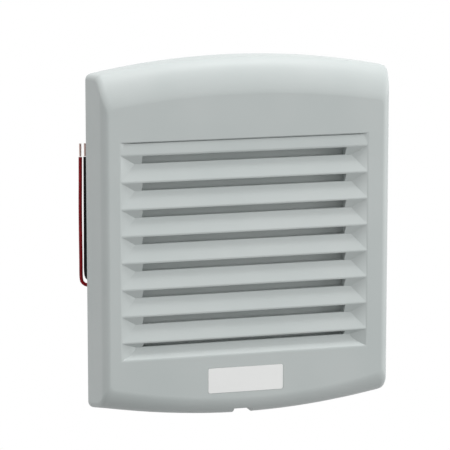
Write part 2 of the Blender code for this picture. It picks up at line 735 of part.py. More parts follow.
def make_housing(material):
    half = FAN_SIDE / 2
    outline = rounded_box(-half, half, -half, half, FAN_CORNER)
    middle = (FAN_FRONT + FAN_BACK) / 2
    housing = make_object("fan_housing", prism_along_y(outline, FAN_FRONT, FAN_FRONT + FAN_PLATE))
    join(housing, prism_along_y(circle(BARREL_RADIUS, 48), FAN_FRONT + 1.0 * MM, FAN_BACK - 1.0 * MM))
    join(housing, prism_along_y(outline, FAN_BACK - FAN_PLATE, FAN_BACK))
    bore = [
        (0.0, FAN_FRONT - 1.0 * MM),
        (BORE_RADIUS + 1.3 * MM, FAN_FRONT - 1.0 * MM),
        (BORE_RADIUS + 1.3 * MM, FAN_FRONT),
        (BORE_RADIUS + 0.4 * MM, FAN_FRONT + 1.5 * MM),
        (BORE_RADIUS, FAN_FRONT + 3.5 * MM),
        (BORE_RADIUS, FAN_BACK - 3.0 * MM),
        (BORE_RADIUS + 1.0 * MM, FAN_BACK),
        (BORE_RADIUS + 1.0 * MM, FAN_BACK + 1.0 * MM),
        (0.0, FAN_BACK + 1.0 * MM),
    ]
    cut(housing, turned(bore, 48))
    holes = []
    for x in (-FAN_HOLE_PLACE, FAN_HOLE_PLACE):
        for z in (-FAN_HOLE_PLACE, FAN_HOLE_PLACE):
            outline = circle(FAN_HOLE_RADIUS, 16, x, z)
            holes.append(prism_along_y(outline, FAN_FRONT - 1.0 * MM, FAN_BACK + 1.0 * MM))
    cut(housing, together(*holes))
    base = [
        (BEARING_SEAT, TUBE_FRONT),
        (TUBE_RADIUS, TUBE_FRONT),
        (TUBE_RADIUS, MOTOR_BASE_FRONT),
        (MOTOR_BASE_RADIUS, MOTOR_BASE_FRONT),
        (MOTOR_BASE_RADIUS, FAN_BACK - 0.5 * MM),
        (MOTOR_BASE_RADIUS - 0.5 * MM, FAN_BACK),
        (BEARING_SEAT, FAN_BACK),
        (BEARING_SEAT, middle - 0.1 * MM),
        (SHOULDER_RADIUS, middle - 0.3 * MM),
        (SHOULDER_RADIUS, middle - 1.1 * MM),
        (BEARING_SEAT, middle - 1.1 * MM),
    ]
    struts = []
    for degrees in (30.0, 120.0, 300.0):
        struts.append(spoke(math.radians(degrees), STRUT_WIDTH / 2, STRUT_FRONT, FAN_BACK - 0.4 * MM))
    trough = spoke(
        CHANNEL_ANGLE, CHANNEL_HALF + CHANNEL_WALL, CHANNEL_FLOOR - 0.8 * MM, FAN_BACK - 0.15 * MM
    )
    join(housing, together(*struts, trough), turned(base, 32))
    slot = spoke(CHANNEL_ANGLE, CHANNEL_HALF, CHANNEL_FLOOR, FAN_BACK + 2.0 * MM, 8.6 * MM, 42.6 * MM)
    cut(housing, slot)
    exit_low = (-half - 2.0 * MM, CHANNEL_FLOOR, NOTCH_LEAD_BOTTOM)
    exit_high = (-33.6 * MM, FAN_BACK + 2.0 * MM, NOTCH_LEAD_TOP)
    cut(housing, block(exit_low, exit_high))
    return finish(housing, material)


def spoke(angle, half, front, back, start=MOTOR_BASE_RADIUS - 1.6 * MM, end=BORE_RADIUS + 1.3 * MM):
    """A straight bar lying outwards from the axis at an angle in the X and Z plane."""
    along = (math.cos(angle), math.sin(angle))
    across = (-math.sin(angle), math.cos(angle))
    outline = []
    for distance, offset in ((start, -half), (end, -half), (end, half), (start, half)):
        outline.append(
            (along[0] * distance + across[0] * offset, along[1] * distance + across[1] * offset)
        )
    return prism_along_y(outline, front, back)


def blade(turn):
    """One twisted, swept blade as sections laid on cylinders of growing radius."""
    rings = []
    root = HUB_RADIUS - 0.8 * MM
    steps = 5
    for step in range(steps):
        share = step / (steps - 1)
        radius = root + (BLADE_TIP - root) * share
        stagger = math.radians(47.0 - 23.0 * share**0.8)
        chord = (15.0 + 6.5 * share) * MM
        thickness = (1.7 - 0.8 * share) * MM
        camber = (0.09 - 0.03 * share) * chord
        sweep = 3.2 * MM * share * share
        upper = []
        lower = []
        for station in range(7):
            along = 0.5 * (1.0 - math.cos(math.pi * station / 6))
            arch = camber * 4.0 * along * (1.0 - along)
            half = 0.5 * thickness * (math.sqrt(max(1.0 - (2.0 * along - 1.0) ** 2, 0.0)) * 0.9 + 0.12)
            upper.append(((along - 0.5) * chord, arch + half))
            lower.append(((along - 0.5) * chord, arch - half))
        ring = []
        for distance, height in upper + lower[::-1]:
            tangent = distance * math.cos(stagger) - height * math.sin(stagger) + sweep
            axial = distance * math.sin(stagger) + height * math.cos(stagger)
            angle = turn + tangent / radius
            ring.append((radius * math.cos(angle), BLADE_MIDDLE - axial, radius * math.sin(angle)))
        rings.append(ring)
    return loft(rings)


def make_impeller(material):
    inner = HUB_RADIUS - HUB_WALL
    profile = [
        (0.0, HUB_FRONT),
        (HUB_RADIUS - 2.4 * MM, HUB_FRONT),
        (HUB_RADIUS - 0.8 * MM, HUB_FRONT + 0.35 * MM),
        (HUB_RADIUS - 0.2 * MM, HUB_FRONT + 1.0 * MM),
        (HUB_RADIUS, HUB_FRONT + 2.0 * MM),
        (HUB_RADIUS, HUB_BACK),
        (inner, HUB_BACK),
        (inner, HUB_FRONT + 2.0 * MM),
        (3.2 * MM, HUB_FRONT + 2.0 * MM),
        (3.2 * MM, HUB_FRONT + 4.0 * MM),
        (SHAFT_RADIUS + 0.15 * MM, HUB_FRONT + 4.0 * MM),
        (SHAFT_RADIUS + 0.15 * MM, HUB_FRONT + 1.2 * MM),
        (0.0, HUB_FRONT + 1.2 * MM),
    ]
    impeller = make_object("impeller", turned(profile, 42))
    blades = [blade(2.0 * math.pi * index / BLADE_COUNT) for index in range(BLADE_COUNT)]
    join(impeller, together(*blades))
    return finish(impeller, material)


def make_rotor(steel, magnet, bright):
    inner = HUB_RADIUS - HUB_WALL - 0.3 * MM
    front = HUB_FRONT + 2.3 * MM
    back = HUB_BACK - 0.6 * MM
    yoke = [
        (3.6 * MM, front),
        (inner - 0.5 * MM, front),
        (inner, front + 0.5 * MM),
        (inner, back),
        (inner - 1.0 * MM, back),
        (inner - 1.0 * MM, front + 1.0 * MM),
        (3.6 * MM, front + 1.0 * MM),
    ]
    finish(make_object("rotor_yoke", turned(yoke, 40)), steel)
    outer = inner - 1.3 * MM
    ring = [
        (outer - 1.6 * MM, 19.0 * MM),
        (outer, 19.0 * MM),
        (outer, 31.0 * MM),
        (outer - 1.6 * MM, 31.0 * MM),
    ]
    finish(make_object("rotor_magnet", turned(ring, 40)), magnet)
    groove = RING_FRONT - 0.1 * MM
    shaft = [
        (0.0, HUB_FRONT + 1.5 * MM),
        (SHAFT_RADIUS - 0.3 * MM, HUB_FRONT + 1.5 * MM),
        (SHAFT_RADIUS, HUB_FRONT + 1.8 * MM),
        (SHAFT_RADIUS, groove),
        (SHAFT_RADIUS - 0.4 * MM, groove),
        (SHAFT_RADIUS - 0.4 * MM, groove + RING_THICKNESS + 0.2 * MM),
        (SHAFT_RADIUS, groove + RING_THICKNESS + 0.2 * MM),
        (SHAFT_RADIUS, 35.9 * MM),
        (SHAFT_RADIUS - 0.3 * MM, 36.2 * MM),
        (0.0, 36.2 * MM),
    ]
    finish(make_object("rotor_shaft", turned(shaft, 24)), bright)
    open_ring = []
    for radius, order in ((2.5 * MM, 1), (1.2 * MM, -1)):
        angles = [math.radians(25.0 + 310.0 * step / 20) for step in range(21)][::order]
        open_ring.extend([(radius * math.cos(angle), radius * math.sin(angle)) for angle in angles])
    finish(
        make_object("retaining_ring", prism_along_y(open_ring, RING_FRONT, RING_FRONT + RING_THICKNESS)),
        steel,
    )


def make_bearing(name, front, material):
    """A shielded ball bearing with a step between the outer ring, the shield and the inner ring."""
    back = front + BEARING_WIDTH
    bore = SHAFT_RADIUS + SHAFT_RUNNING_CLEARANCE
    profile = [
        (bore, front),
        (bore + 0.6 * MM, front),
        (bore + 0.6 * MM, front + 0.25 * MM),
        (BEARING_RADIUS - 0.6 * MM, front + 0.25 * MM),
        (BEARING_RADIUS - 0.6 * MM, front),
        (BEARING_RADIUS - 0.1 * MM, front),
        (BEARING_RADIUS, front + 0.15 * MM),
        (BEARING_RADIUS, back - 0.15 * MM),
        (BEARING_RADIUS - 0.1 * MM, back),
        (BEARING_RADIUS - 0.6 * MM, back),
        (BEARING_RADIUS - 0.6 * MM, back - 0.25 * MM),
        (bore + 0.6 * MM, back - 0.25 * MM),
        (bore + 0.6 * MM, back),
        (bore, back),
    ]
    finish(make_object(name, turned(profile, 20)), material)


def make_spring(material):
    """An open coil between the tube's shoulder and the rear bearing."""
    turns = 3.5
    wire = 0.28 * MM
    radius = 3.5 * MM
    start = 25.2 * MM
    end = 28.9 * MM
    steps = int(turns * 14)
    rings = []
    for step in range(steps + 1):
        share = step / steps
        angle = 2.0 * math.pi * turns * share
        y = start + (end - start) * share
        ring = []
        for index in range(6):
            around = 2.0 * math.pi * index / 6
            reach = radius + wire * math.cos(around)
            ring.append((reach * math.cos(angle), y + wire * math.sin(around), reach * math.sin(angle)))
        rings.append(ring)
    finish(make_object("preload_spring", loft(rings)), material, 60.0)


def make_stator(steel, copper):
    outline = []
    for pole in range(4):
        middle = math.pi / 2 * pole
        arm = 1.8 * MM
        for radius, degrees in ((10.3, -35.0), (11.1, -36.0), (11.6, -36.0)):
            angle = middle + math.radians(degrees)
            outline.append((radius * MM * math.cos(angle), radius * MM * math.sin(angle)))
        for step in range(1, 8):
            angle = middle + math.radians(-36.0 + 9.0 * step)
            outline.append((CORE_RADIUS * math.cos(angle), CORE_RADIUS * math.sin(angle)))
        for radius, degrees in ((11.6, 36.0), (11.1, 36.0), (10.3, 35.0)):
            angle = middle + math.radians(degrees)
            outline.append((radius * MM * math.cos(angle), radius * MM * math.sin(angle)))
        for reach, offset in ((9.9, 1.0), (6.6, 1.0)):
            outline.append(
                (
                    reach * MM * math.cos(middle) - offset * arm * math.sin(middle),
                    reach * MM * math.sin(middle) + offset * arm * math.cos(middle),
                )
            )
        following = middle + math.pi / 2
        for reach, offset in ((6.6, -1.0), (9.9, -1.0)):
            outline.append(
                (
                    reach * MM * math.cos(following) - offset * arm * math.sin(following),
                    reach * MM * math.sin(following) + offset * arm * math.cos(following),
                )
            )
    core = make_object("stator_core", prism_along_y(outline, CORE_FRONT, CORE_BACK))
    cut(core, prism_along_y(circle(TUBE_RADIUS + 0.2 * MM, 40), CORE_FRONT - 1.0 * MM, CORE_BACK + 1.0 * MM))
    finish(core, steel)
    for number in range(4):
        make_coil(number, copper)


def make_coil(number, material):
    """A winding round one arm of the core, along the arm's direction."""
    angle = math.pi / 2 * number
    along = Vector((math.cos(angle), 0.0, math.sin(angle)))
    across = Vector((-math.sin(angle), 0.0, math.cos(angle)))
    middle = (CORE_FRONT + CORE_BACK) / 2
    half = (CORE_BACK - CORE_FRONT) / 2
    hole = rounded_box(-2.1 * MM, 2.1 * MM, -half - 0.3 * MM, half + 0.3 * MM, 0.4 * MM, 3)
    rings = []
    for reach, swell in ((6.9, 1.1), (7.3, 1.6), (8.3, 1.9), (8.9, 1.2)):
        outer = rounded_box(
            (-2.1 - swell) * MM,
            (2.1 + swell) * MM,
            -half - (0.3 + swell) * MM,
            half + (0.3 + swell) * MM,
            1.2 * MM,
            3,
        )
        rings.append([along * reach * MM + across * x + Vector((0.0, middle + y, 0.0)) for x, y in outer])
    for reach in (8.9, 6.9):
        rings.append([along * reach * MM + across * x + Vector((0.0, middle + y, 0.0)) for x, y in hole])
    coil = make_object("stator_coil_" + str(number + 1), loft(rings, closed=True))
    finish(coil, material)


def make_board(material):
    profile = [
        (TUBE_RADIUS + 0.4 * MM, BOARD_FRONT),
        (15.0 * MM, BOARD_FRONT),
        (15.0 * MM, BOARD_BACK),
        (TUBE_RADIUS + 0.4 * MM, BOARD_BACK),
    ]
    finish(make_object("motor_board", turned(profile, 40)), material)


# Guard, screws and leads


def wire_ring(radius, y, wire, segments, x=0.0, z=0.0, sides=6):
    profile = []
    for index in range(sides):
        angle = 2.0 * math.pi * index / sides
        profile.append((radius + wire * math.cos(angle), y + wire * math.sin(angle)))
    return turned(profile, segments, x, z)


def wire_bar(start, end, y, wire, sides=8):
    first = Vector((start[0], y, start[1]))
    last = Vector((end[0], y, end[1]))
    forward = (last - first).normalized()
    across = forward.cross(Vector((0.0, 1.0, 0.0)))
    rings = []
    for spot in (first, last):
        ring = []
        for index in range(sides):
            angle = 2.0 * math.pi * (index + 0.5) / sides
            ring.append(
                spot + across * (wire * math.cos(angle)) + Vector((0.0, wire * math.sin(angle), 0.0))
            )
        rings.append(ring)
    return loft(rings)


def make_guard(material):
    step = (GUARD_OUTER - GUARD_INNER) / (GUARD_RING_COUNT - 1)
    radii = [GUARD_INNER + step * index for index in range(GUARD_RING_COUNT)]
    rings = [wire_ring(radius, GUARD_RING_Y, WIRE_RADIUS, 28) for radius in radii]
    guard = make_object("finger_guard", together(*rings))
    reach = FAN_HOLE_PLACE - EYE_RADIUS * math.sqrt(0.5)
    join(guard, wire_bar((-reach, -reach), (reach, reach), GUARD_SPOKE_Y, WIRE_RADIUS))
    join(
        guard, wire_bar((-reach, reach), (reach, -reach), GUARD_SPOKE_Y + 0.01 * MM, WIRE_RADIUS - 0.01 * MM)
    )
    eyes = []
    for x in (-FAN_HOLE_PLACE, FAN_HOLE_PLACE):
        for z in (-FAN_HOLE_PLACE, FAN_HOLE_PLACE):
            eyes.append(wire_ring(EYE_RADIUS, GUARD_SPOKE_Y, WIRE_RADIUS, 16, x, z, 6))
    join(guard, together(*eyes))
    return finish(guard, material, 50.0)


def make_screw(number, x, z, material):
    front = SCREW_HEAD_FRONT
    top = front + SCREW_HEAD_HEIGHT
    profile = [
        (0.0, SCREW_TIP),
        (SCREW_RADIUS * 0.35, SCREW_TIP + 0.3 * MM),
        (SCREW_RADIUS, SCREW_TIP + 2.4 * MM),
        (SCREW_RADIUS, front),
        (SCREW_HEAD_RADIUS, front),
        (SCREW_HEAD_RADIUS, front + 0.9 * MM),
        (SCREW_HEAD_RADIUS - 0.4 * MM, top - 0.45 * MM),
        (SCREW_HEAD_RADIUS - 1.3 * MM, top),
        (0.0, top),
    ]
    screw = make_object("fan_screw_" + str(number), turned(profile, 16, x, z))
    wide = 1.7 * MM
    thin = 0.35 * MM
    depth = top - 1.0 * MM
    cross = [
        (wide, -thin), (wide, thin), (thin, thin), (thin, wide), (-thin, wide), (-thin, thin),
        (-wide, thin), (-wide, -thin), (-thin, -thin), (-thin, -wide), (thin, -wide), (thin, -thin),
    ]
    cut(screw, prism_along_y([(x + cx, z + cz) for cx, cz in cross], depth, top + 1.0 * MM))
    return finish(screw, material)


def make_lead(name, route, material):
    metres = [(x * MM, z * MM) for x, z in route]
    spots = smooth_route(metres, LEAD_POINTS // 2)
    curve = bpy.data.curves.new(name, "CURVE")
    curve.dimensions = "3D"
    spline = curve.splines.new("POLY")
    spline.points.add(len(spots) - 1)
    for point, spot in zip(spline.points, spots):
        point.co = (spot.x, LEAD_Y, spot.z, 1.0)
    curve.bevel_depth = LEAD_RADIUS
    curve.bevel_resolution = 2
    curve.use_fill_caps = True
    curve.materials.append(material)
    made = bpy.data.objects.new(name, curve)
    bpy.context.scene.collection.objects.link(made)
    return made


def make_strands(name, route, material):
    """The stripped end: seven twisted wires as one fluted bundle."""
    x, z = route[-1][0] * MM, route[-1][1] * MM + STRAND_SINK
    rings = []
    levels = 4
    for level in range(levels + 1):
        height = z + STRAND_LENGTH * level / levels
        twist = math.radians(55.0) * level / levels
        tip = 0.55 if level == levels else 1.0
        ring = []
        for index in range(12):
            angle = 2.0 * math.pi * index / 12
            flute = 1.0 - 0.16 * abs(math.sin(3.0 * angle))
            radius = STRAND_RADIUS * flute * tip
            ring.append(
                (x + radius * math.cos(angle + twist), LEAD_Y + radius * math.sin(angle + twist), height)
            )
        rings.append(ring)
    finish(make_object(name, loft(rings)), material, 60.0)


def make_mat(material):
    front = MAT_FRONT
    back = GRID_FRONT - FIT_GAP
    rings = []
    for y, shrink in ((front, 0.8), (front + 0.8 * MM, 0.0), (back - 0.8 * MM, 0.0), (back, 0.8)):
        half = MAT_HALF - shrink * MM
        rings.append([(x, y, z) for x, z in rounded_box(-half, half, -half, half, 2.0 * MM)])
    finish(make_object("filter_mat", loft(rings)), material, 30.0)


def make_gasket(material):
    front = -COVER_STANDOFF + FIT_GAP
    outer = rounded_box(-GASKET_OUTER, GASKET_OUTER, GASKET_BOTTOM, GASKET_TOP, 3.0 * MM)
    inner = rounded_box(-GASKET_INNER, GASKET_INNER, -GASKET_INNER, GASKET_INNER, 3.0 * MM)
    rings = [
        [(x, y, z) for x, z in outline]
        for outline, y in ((outer, front), (outer, 0.0), (inner, 0.0), (inner, front))
    ]
    finish(make_object("door_gasket", loft(rings, closed=True)), material)


def main():
    clear_scene()
    pale = make_material("pale grey cover plastic", (0.62, 0.645, 0.64), 0.48)
    frame_plastic = make_material("frame plastic", (0.52, 0.54, 0.54), 0.5)
    black_plastic = make_material("black glass-filled plastic", (0.016, 0.016, 0.017), 0.45)
    fibre = make_material("white filter fibre", (0.82, 0.82, 0.79), 0.95)
    foam = make_material("dark foam", (0.03, 0.03, 0.03), 0.95)
    steel = make_material("zinc-plated steel", (0.55, 0.56, 0.57), 0.35, 1.0)
    lamination = make_material("lamination steel", (0.25, 0.25, 0.27), 0.45, 1.0)
    magnet = make_material("bonded ferrite", (0.05, 0.05, 0.055), 0.6)
    ground = make_material("ground steel", (0.6, 0.6, 0.6), 0.2, 1.0)
    copper = make_material("enamelled copper", (0.55, 0.2, 0.06), 0.3, 1.0)
    board = make_material("green board", (0.02, 0.14, 0.05), 0.4)
    chrome = make_material("plated wire", (0.62, 0.63, 0.64), 0.25, 1.0)
    red = make_material("red insulation", (0.2, 0.008, 0.01), 0.35)
    black = make_material("black insulation", (0.008, 0.008, 0.008), 0.35)
    strand = make_material("tinned copper strands", (0.5, 0.3, 0.25), 0.4, 1.0)
    make_cover(pale)
    make_mat(fibre)
    make_frame(frame_plastic)
    make_gasket(foam)
    make_housing(black_plastic)
    make_impeller(black_plastic)
    make_rotor(steel, magnet, ground)
    make_bearing("front_bearing", FRONT_BEARING_FRONT, ground)
    make_bearing("rear_bearing", REAR_BEARING_FRONT, ground)
    make_spring(steel)
    make_stator(lamination, copper)
    make_board(board)
    make_guard(chrome)
    number = 0
    for x in (-FAN_HOLE_PLACE, FAN_HOLE_PLACE):
        for z in (FAN_HOLE_PLACE, -FAN_HOLE_PLACE):
            number += 1
            make_screw(number, x, z, steel)
    make_lead("red_lead", RED_ROUTE, red)
    make_lead("black_lead", BLACK_ROUTE, black)
    make_strands("red_strands", RED_ROUTE, strand)
    make_strands("black_strands", BLACK_ROUTE, strand)


if __name__ == "__main__":
    main()
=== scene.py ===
"""Looks of a cabinet filter fan: louvred cover, filter mat, leads, wire guard and the fan behind them."""

import math

import bmesh
import bpy
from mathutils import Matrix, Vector, noise


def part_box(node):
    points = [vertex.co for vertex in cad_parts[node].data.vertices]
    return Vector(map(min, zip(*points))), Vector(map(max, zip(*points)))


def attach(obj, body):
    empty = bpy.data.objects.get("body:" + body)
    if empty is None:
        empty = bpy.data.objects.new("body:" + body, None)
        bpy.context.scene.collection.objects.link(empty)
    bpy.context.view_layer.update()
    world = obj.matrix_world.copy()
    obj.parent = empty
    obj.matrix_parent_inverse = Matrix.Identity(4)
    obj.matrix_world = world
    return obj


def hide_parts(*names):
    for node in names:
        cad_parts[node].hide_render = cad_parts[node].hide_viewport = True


bl_info = {
    "name": "Cabinet Filter Fan",
    "version": (1, 0, 0),
    "blender": (4, 5, 0),
    "location": "View3D > Sidebar > Filter Fan",
    "description": "Builds the visible pieces and finishes of a cabinet filter fan",
    "category": "Object",
}

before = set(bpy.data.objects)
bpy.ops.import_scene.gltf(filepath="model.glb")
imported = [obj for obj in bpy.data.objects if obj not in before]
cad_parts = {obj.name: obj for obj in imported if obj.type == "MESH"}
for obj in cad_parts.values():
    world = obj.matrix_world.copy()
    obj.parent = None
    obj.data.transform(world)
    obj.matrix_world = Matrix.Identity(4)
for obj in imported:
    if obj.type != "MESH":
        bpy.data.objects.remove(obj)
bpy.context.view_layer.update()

# The unit of the sizes below, and how near two places are when they count as one
MM = 0.001
NEAR = 1e-6

# Cover shell: rear rim at -STANDOFF, front face a depth further
STANDOFF = 2.0 * MM
RISE = 2.5 * MM
TOP_FILLET = (7.6 * MM, 13.28 * MM)
BOTTOM_FILLET = (7.97 * MM, 7.6 * MM)
TOP_FULLNESS = 1.6
TOP_ARCH = (5.95 * MM, 5.35 * MM)
BOTTOM_ARCH = (3.75 * MM, 7.7 * MM)
OVERCUT = 1.0 * MM

# Degrees through the fillets at which the shell has a ring, outside and inside
OUTER_TURNS = (0, 8, 16, 24, 32, 39, 46, 52, 58, 64, 69, 74, 78, 81.5, 84.5, 87, 89, 90)
INNER_TURNS = (0, 25, 45, 62, 78, 90)

# Points round a corner and steps along an arch, outside and inside; the inner corners are tighter
OUTER_STEPS = (7, 44)
INNER_STEPS = (5, 12)
INNER_CORNER = 0.8

# Louvres: each lip overhangs a sloping slat, and the slot under the lip lets the air in
LOUVRES = 8
LIP_TOP = 33.7 * MM + RISE
PITCH = 10.12 * MM
LIPS = [LIP_TOP - PITCH * index for index in range(LOUVRES)]
RECESS = 2.2 * MM
GAP = 3.75 * MM
LAST_GAP = 2.3 * MM
COVE = 6.9 * MM
COVE_STEPS = 8
COVE_CURVE = 1.15
HEAD_STRIP = 4.55 * MM
HEAD_RECESS = 0.45 * MM
HEAD_TAPER = 3.3
GROOVE = (0.4 * MM, 1.3 * MM)
WINDOW_HALF = 48.2 * MM
WINDOW_MIDDLE = -0.9 * MM
WINDOW_TOP = LIPS[0] + HEAD_STRIP
WINDOW_BOTTOM = LIPS[-1] - COVE
NARROWING = 5.9 * MM

# Behind the louvres: depths are from the front face, reaches are below and above a lip
PANEL_BORDER = 2.2 * MM
PANEL_DEPTHS = (1.2 * MM, 4.0 * MM)
SLOT_HALF = 39.7 * MM
SLOT_DEPTHS = (-0.5 * MM, 4.5 * MM)
SLOT_FLOOR = 0.15 * MM
SLOT_LIP = 0.5 * MM
WEB = (39.9 * MM, 41.3 * MM)
WEB_DEPTHS = (3.6 * MM, 6.4 * MM)
WEB_REACH = (4.0 * MM, 2.4 * MM)
BAFFLE_DEPTHS = (6.0 * MM, 7.2 * MM)
BAFFLE_REACH = (4.9 * MM, 1.2 * MM)

# Finger notch through the bottom wall, and the latch bead that it parts in two
NOTCH_TOP = (-4.75 * MM, 2.55 * MM)
NOTCH_BOTTOM = (-4.75 * MM, 3.4 * MM)
NOTCH_LEVEL = -65.6 * MM + RISE
NOTCH_HEIGHT = 5.0 * MM
BEAD = (5.2 * MM, 9.0 * MM)
BEAD_FOOT = (-8.6 * MM, -5.1 * MM)
BEAD_CREST = (-7.4 * MM, -5.6 * MM)
BEAD_HEIGHT = 0.9 * MM
BEAD_SINK = 0.7 * MM

# Hinge: two lugs under the top wall, each with a pin that points outwards
HINGE = (-8.0 * MM, 65.7 * MM)
LUG_RADIUS = 1.9 * MM
LUG_HEIGHT = 3.2 * MM
LUG_ENDS = (13.5 * MM, 15.5 * MM)
LUG_STEPS = 16
PIN_RADIUS = 1.0 * MM
PIN_ENDS = (14.9 * MM, 19.1 * MM)

# Blank plate under the louvres: its seat in the cover, and its own depths behind the front face
PLATE_SIDES = (-15.7 * MM, 14.0 * MM)
PLATE_ENDS = (-56.2 * MM, -46.3 * MM)
PLATE_CORNER = 0.8 * MM
PLATE_SEAT = 0.25 * MM
PLATE_GAP = 0.12 * MM
PLATE_BEVEL = 0.04 * MM
PLATE_BACK = 0.28 * MM
PLATE_EDGE = 0.06 * MM
PLATE_FACE = 0.02 * MM

# Filter mat: each edge ring's depth from the nearer face and how far it lies in from the sides
MAT_GAP = 0.2 * MM
MAT_EDGE = ((0.15 * MM, 1.3 * MM), (0.7 * MM, 0.35 * MM), (2.2 * MM, 0.0))
MAT_WAIST = 0.15 * MM
MAT_CORNER = 2.0 * MM
MAT_VOXEL = 1.3 * MM
MAT_TURN = -1.5 * MM
MAT_SWELL = 0.28 * MM
MAT_CLOUD = 9.0 * MM
MAT_SKIN = 0.02 * MM

# Leads: the same route points as the solids have, in millimetres
LEAD_Y = 35.6
RED_ROUTE = (
    (-8.62, -6.07), (-20.31, -12.82), (-32.43, -19.82), (-35.9, -21.75), (-39.3, -22.6), (-44.0, -22.7),
    (-49.1, -22.7), (-51.2, -21.85), (-52.08, -19.7), (-52.15, -12.0), (-52.2, -2.0), (-52.2, 9.0),
    (-52.08, 19.0), (-52.0, 28.0),
)
BLACK_ROUTE = (
    (-9.57, -4.43), (-21.26, -11.18), (-33.3, -18.13), (-36.6, -19.9), (-40.0, -20.75), (-43.8, -20.85),
    (-47.3, -20.8), (-49.4, -19.95), (-50.25, -17.8), (-50.3, -10.0), (-50.25, 0.0), (-50.2, 10.0),
    (-50.15, 19.0), (-50.1, 28.0),
)
ROUTE_STEPS = 24
LEAD_SAMPLES = 110
LEAD_INSET = 0.002 * MM

# Stripped ends: seven wires, the outer six twisted round the first and spreading towards the cut
WIRES = 7
WIRE_LEVELS = 14
WIRE_START = 0.3 * MM
WIRE_SPACING = 0.31 * MM
WIRE_SPREAD = (0.92, 0.13)
WIRE_TWIST = 150.0
CUT_STEP = 0.012

# Wire guard: rings welded on two crossed wires that end in an eye at each screw
SPOKE_Y = 38.4 * MM
RING_Y = 39.6 * MM
RING_RADII = [10.0 * MM + 7.25 * MM * index for index in range(5)]
RING_SEGMENTS = 96
EYE_PLACE = 35.75 * MM
EYE_RADIUS = 2.9 * MM
EYE_SEGMENTS = 40
BAR_OFFSET = 0.02 * MM

# Camera: the point it looks at, and the lens as a focal length in pixels of a square picture
TARGET = Vector((-4.579 * MM, -2.0 * MM, 2.917 * MM + RISE))
FOCAL_PIXELS = 2656.1
PICTURE_PIXELS = 450.0
SENSOR = 36.0

# Soft boxes: place and side in metres, and the setting that holds the power
LAMPS = {
    "key_light": ((0.3, -0.27, 1.25), 0.3, "key"),
    "side_light": ((1.2, -0.5, 0.2), 0.6, "side"),
    "top_light": ((0.0, 0.35, 1.25), 0.5, "top"),
}
LAMP_SPREAD = math.radians(75.0)
FLOOR = ((-6.0, -4.0, -0.42), (6.0, 8.0, -0.40))


# Colour and material helpers


def linear(code):
    """A hex sRGB colour as linear red, green, blue and alpha."""
    parts = [int(code[start : start + 2], 16) / 255.0 for start in (0, 2, 4)]
    return (*[p / 12.92 if p <= 0.04045 else ((p + 0.055) / 1.055) ** 2.4 for p in parts], 1.0)


def add(tree, kind, inputs=None, **settings):
    """Adds a shader node with its settings; an input is a number, a colour or another node's socket."""
    made = tree.nodes.new(kind)
    for name, value in settings.items():
        setattr(made, name, value)
    for key, value in (inputs or {}).items():
        if isinstance(value, bpy.types.NodeSocket):
            tree.links.new(value, made.inputs[key])
        else:
            made.inputs[key].default_value = value
    return made


def start_material(name, roughness, metallic=0.0):
    """A new material with its node tree and its shader."""
    material = bpy.data.materials.new(name)
    material.use_nodes = True
    tree = material.node_tree
    shader = tree.nodes["Principled BSDF"]
    shader.inputs["Roughness"].default_value = roughness
    shader.inputs["Metallic"].default_value = metallic
    return material, tree, shader


def per(size):
    """Texture scale for features of a real size in millimetres."""
    return 1000.0 / size


def dress(tree, shader, tone, span, colours, height, relief, sheen=None):
    """First to second colour over a tone pattern's span, and relief and sheen from a height pattern."""
    # The relief is a strength and a depth in millimetres, the sheen the height's span and two roughnesses
    factor = add(tree, "ShaderNodeMapRange", {"Value": tone, "From Min": span[0], "From Max": span[1]})
    blend = {"Factor": factor.outputs["Result"], "A": colours[0], "B": colours[1]}
    mix = add(tree, "ShaderNodeMix", blend, data_type="RGBA")
    tree.links.new(mix.outputs["Result"], shader.inputs["Base Color"])
    if sheen:
        ends = dict(zip(("From Min", "From Max", "To Min", "To Max"), sheen))
        rough = add(tree, "ShaderNodeMapRange", {"Value": height, **ends})
        tree.links.new(rough.outputs["Result"], shader.inputs["Roughness"])
    strength, depth = relief
    bump = add(tree, "ShaderNodeBump", {"Height": height, "Strength": strength, "Distance": depth * MM})
    tree.links.new(bump.outputs["Normal"], shader.inputs["Normal"])


def moulded(name, colours, roughness, grain=0.35, relief=(0.12, 0.03)):
    """Injection-moulded plastic: spark-eroded grain gives a soft sheen, slow flow marks vary its tone."""
    material, tree, shader = start_material(name, roughness)
    place = add(tree, "ShaderNodeTexCoord").outputs["Object"]
    flow = add(tree, "ShaderNodeTexNoise", {"Vector": place, "Scale": per(28.0), "Detail": 2.0})
    # Real grain is about 0.1 mm, too fine to show, so it is drawn coarser
    fine = add(tree, "ShaderNodeTexNoise", {"Vector": place, "Scale": per(grain), "Detail": 3.0})
    sheen = (0.3, 0.7, roughness - 0.06, roughness + 0.06)
    dress(tree, shader, flow.outputs["Fac"], (0.3, 0.7), colours, fine.outputs["Fac"], relief, sheen)
    return material


def metal(name, colours, roughness, streak=(1.0, 1.0, 1.0), grain=0.4):
    """Metal with drawn, turned or plated grain along one direction, finer across it."""
    material, tree, shader = start_material(name, roughness, 1.0)
    place = add(tree, "ShaderNodeTexCoord").outputs["Object"]
    stretched = add(tree, "ShaderNodeMapping", {"Vector": place, "Scale": streak}).outputs["Vector"]
    # Real drawing and grinding lines are far below 0.1 mm, so they are drawn coarser to show
    fine = add(tree, "ShaderNodeTexNoise", {"Vector": stretched, "Scale": per(grain), "Detail": 4.0})
    cloud = add(tree, "ShaderNodeTexNoise", {"Vector": place, "Scale": per(6.0), "Detail": 3.0})
    sheen = (0.25, 0.75, roughness - 0.08, roughness + 0.08)
    dress(tree, shader, cloud.outputs["Fac"], (0.3, 0.7), colours, fine.outputs["Fac"], (0.1, 0.02), sheen)
    return material


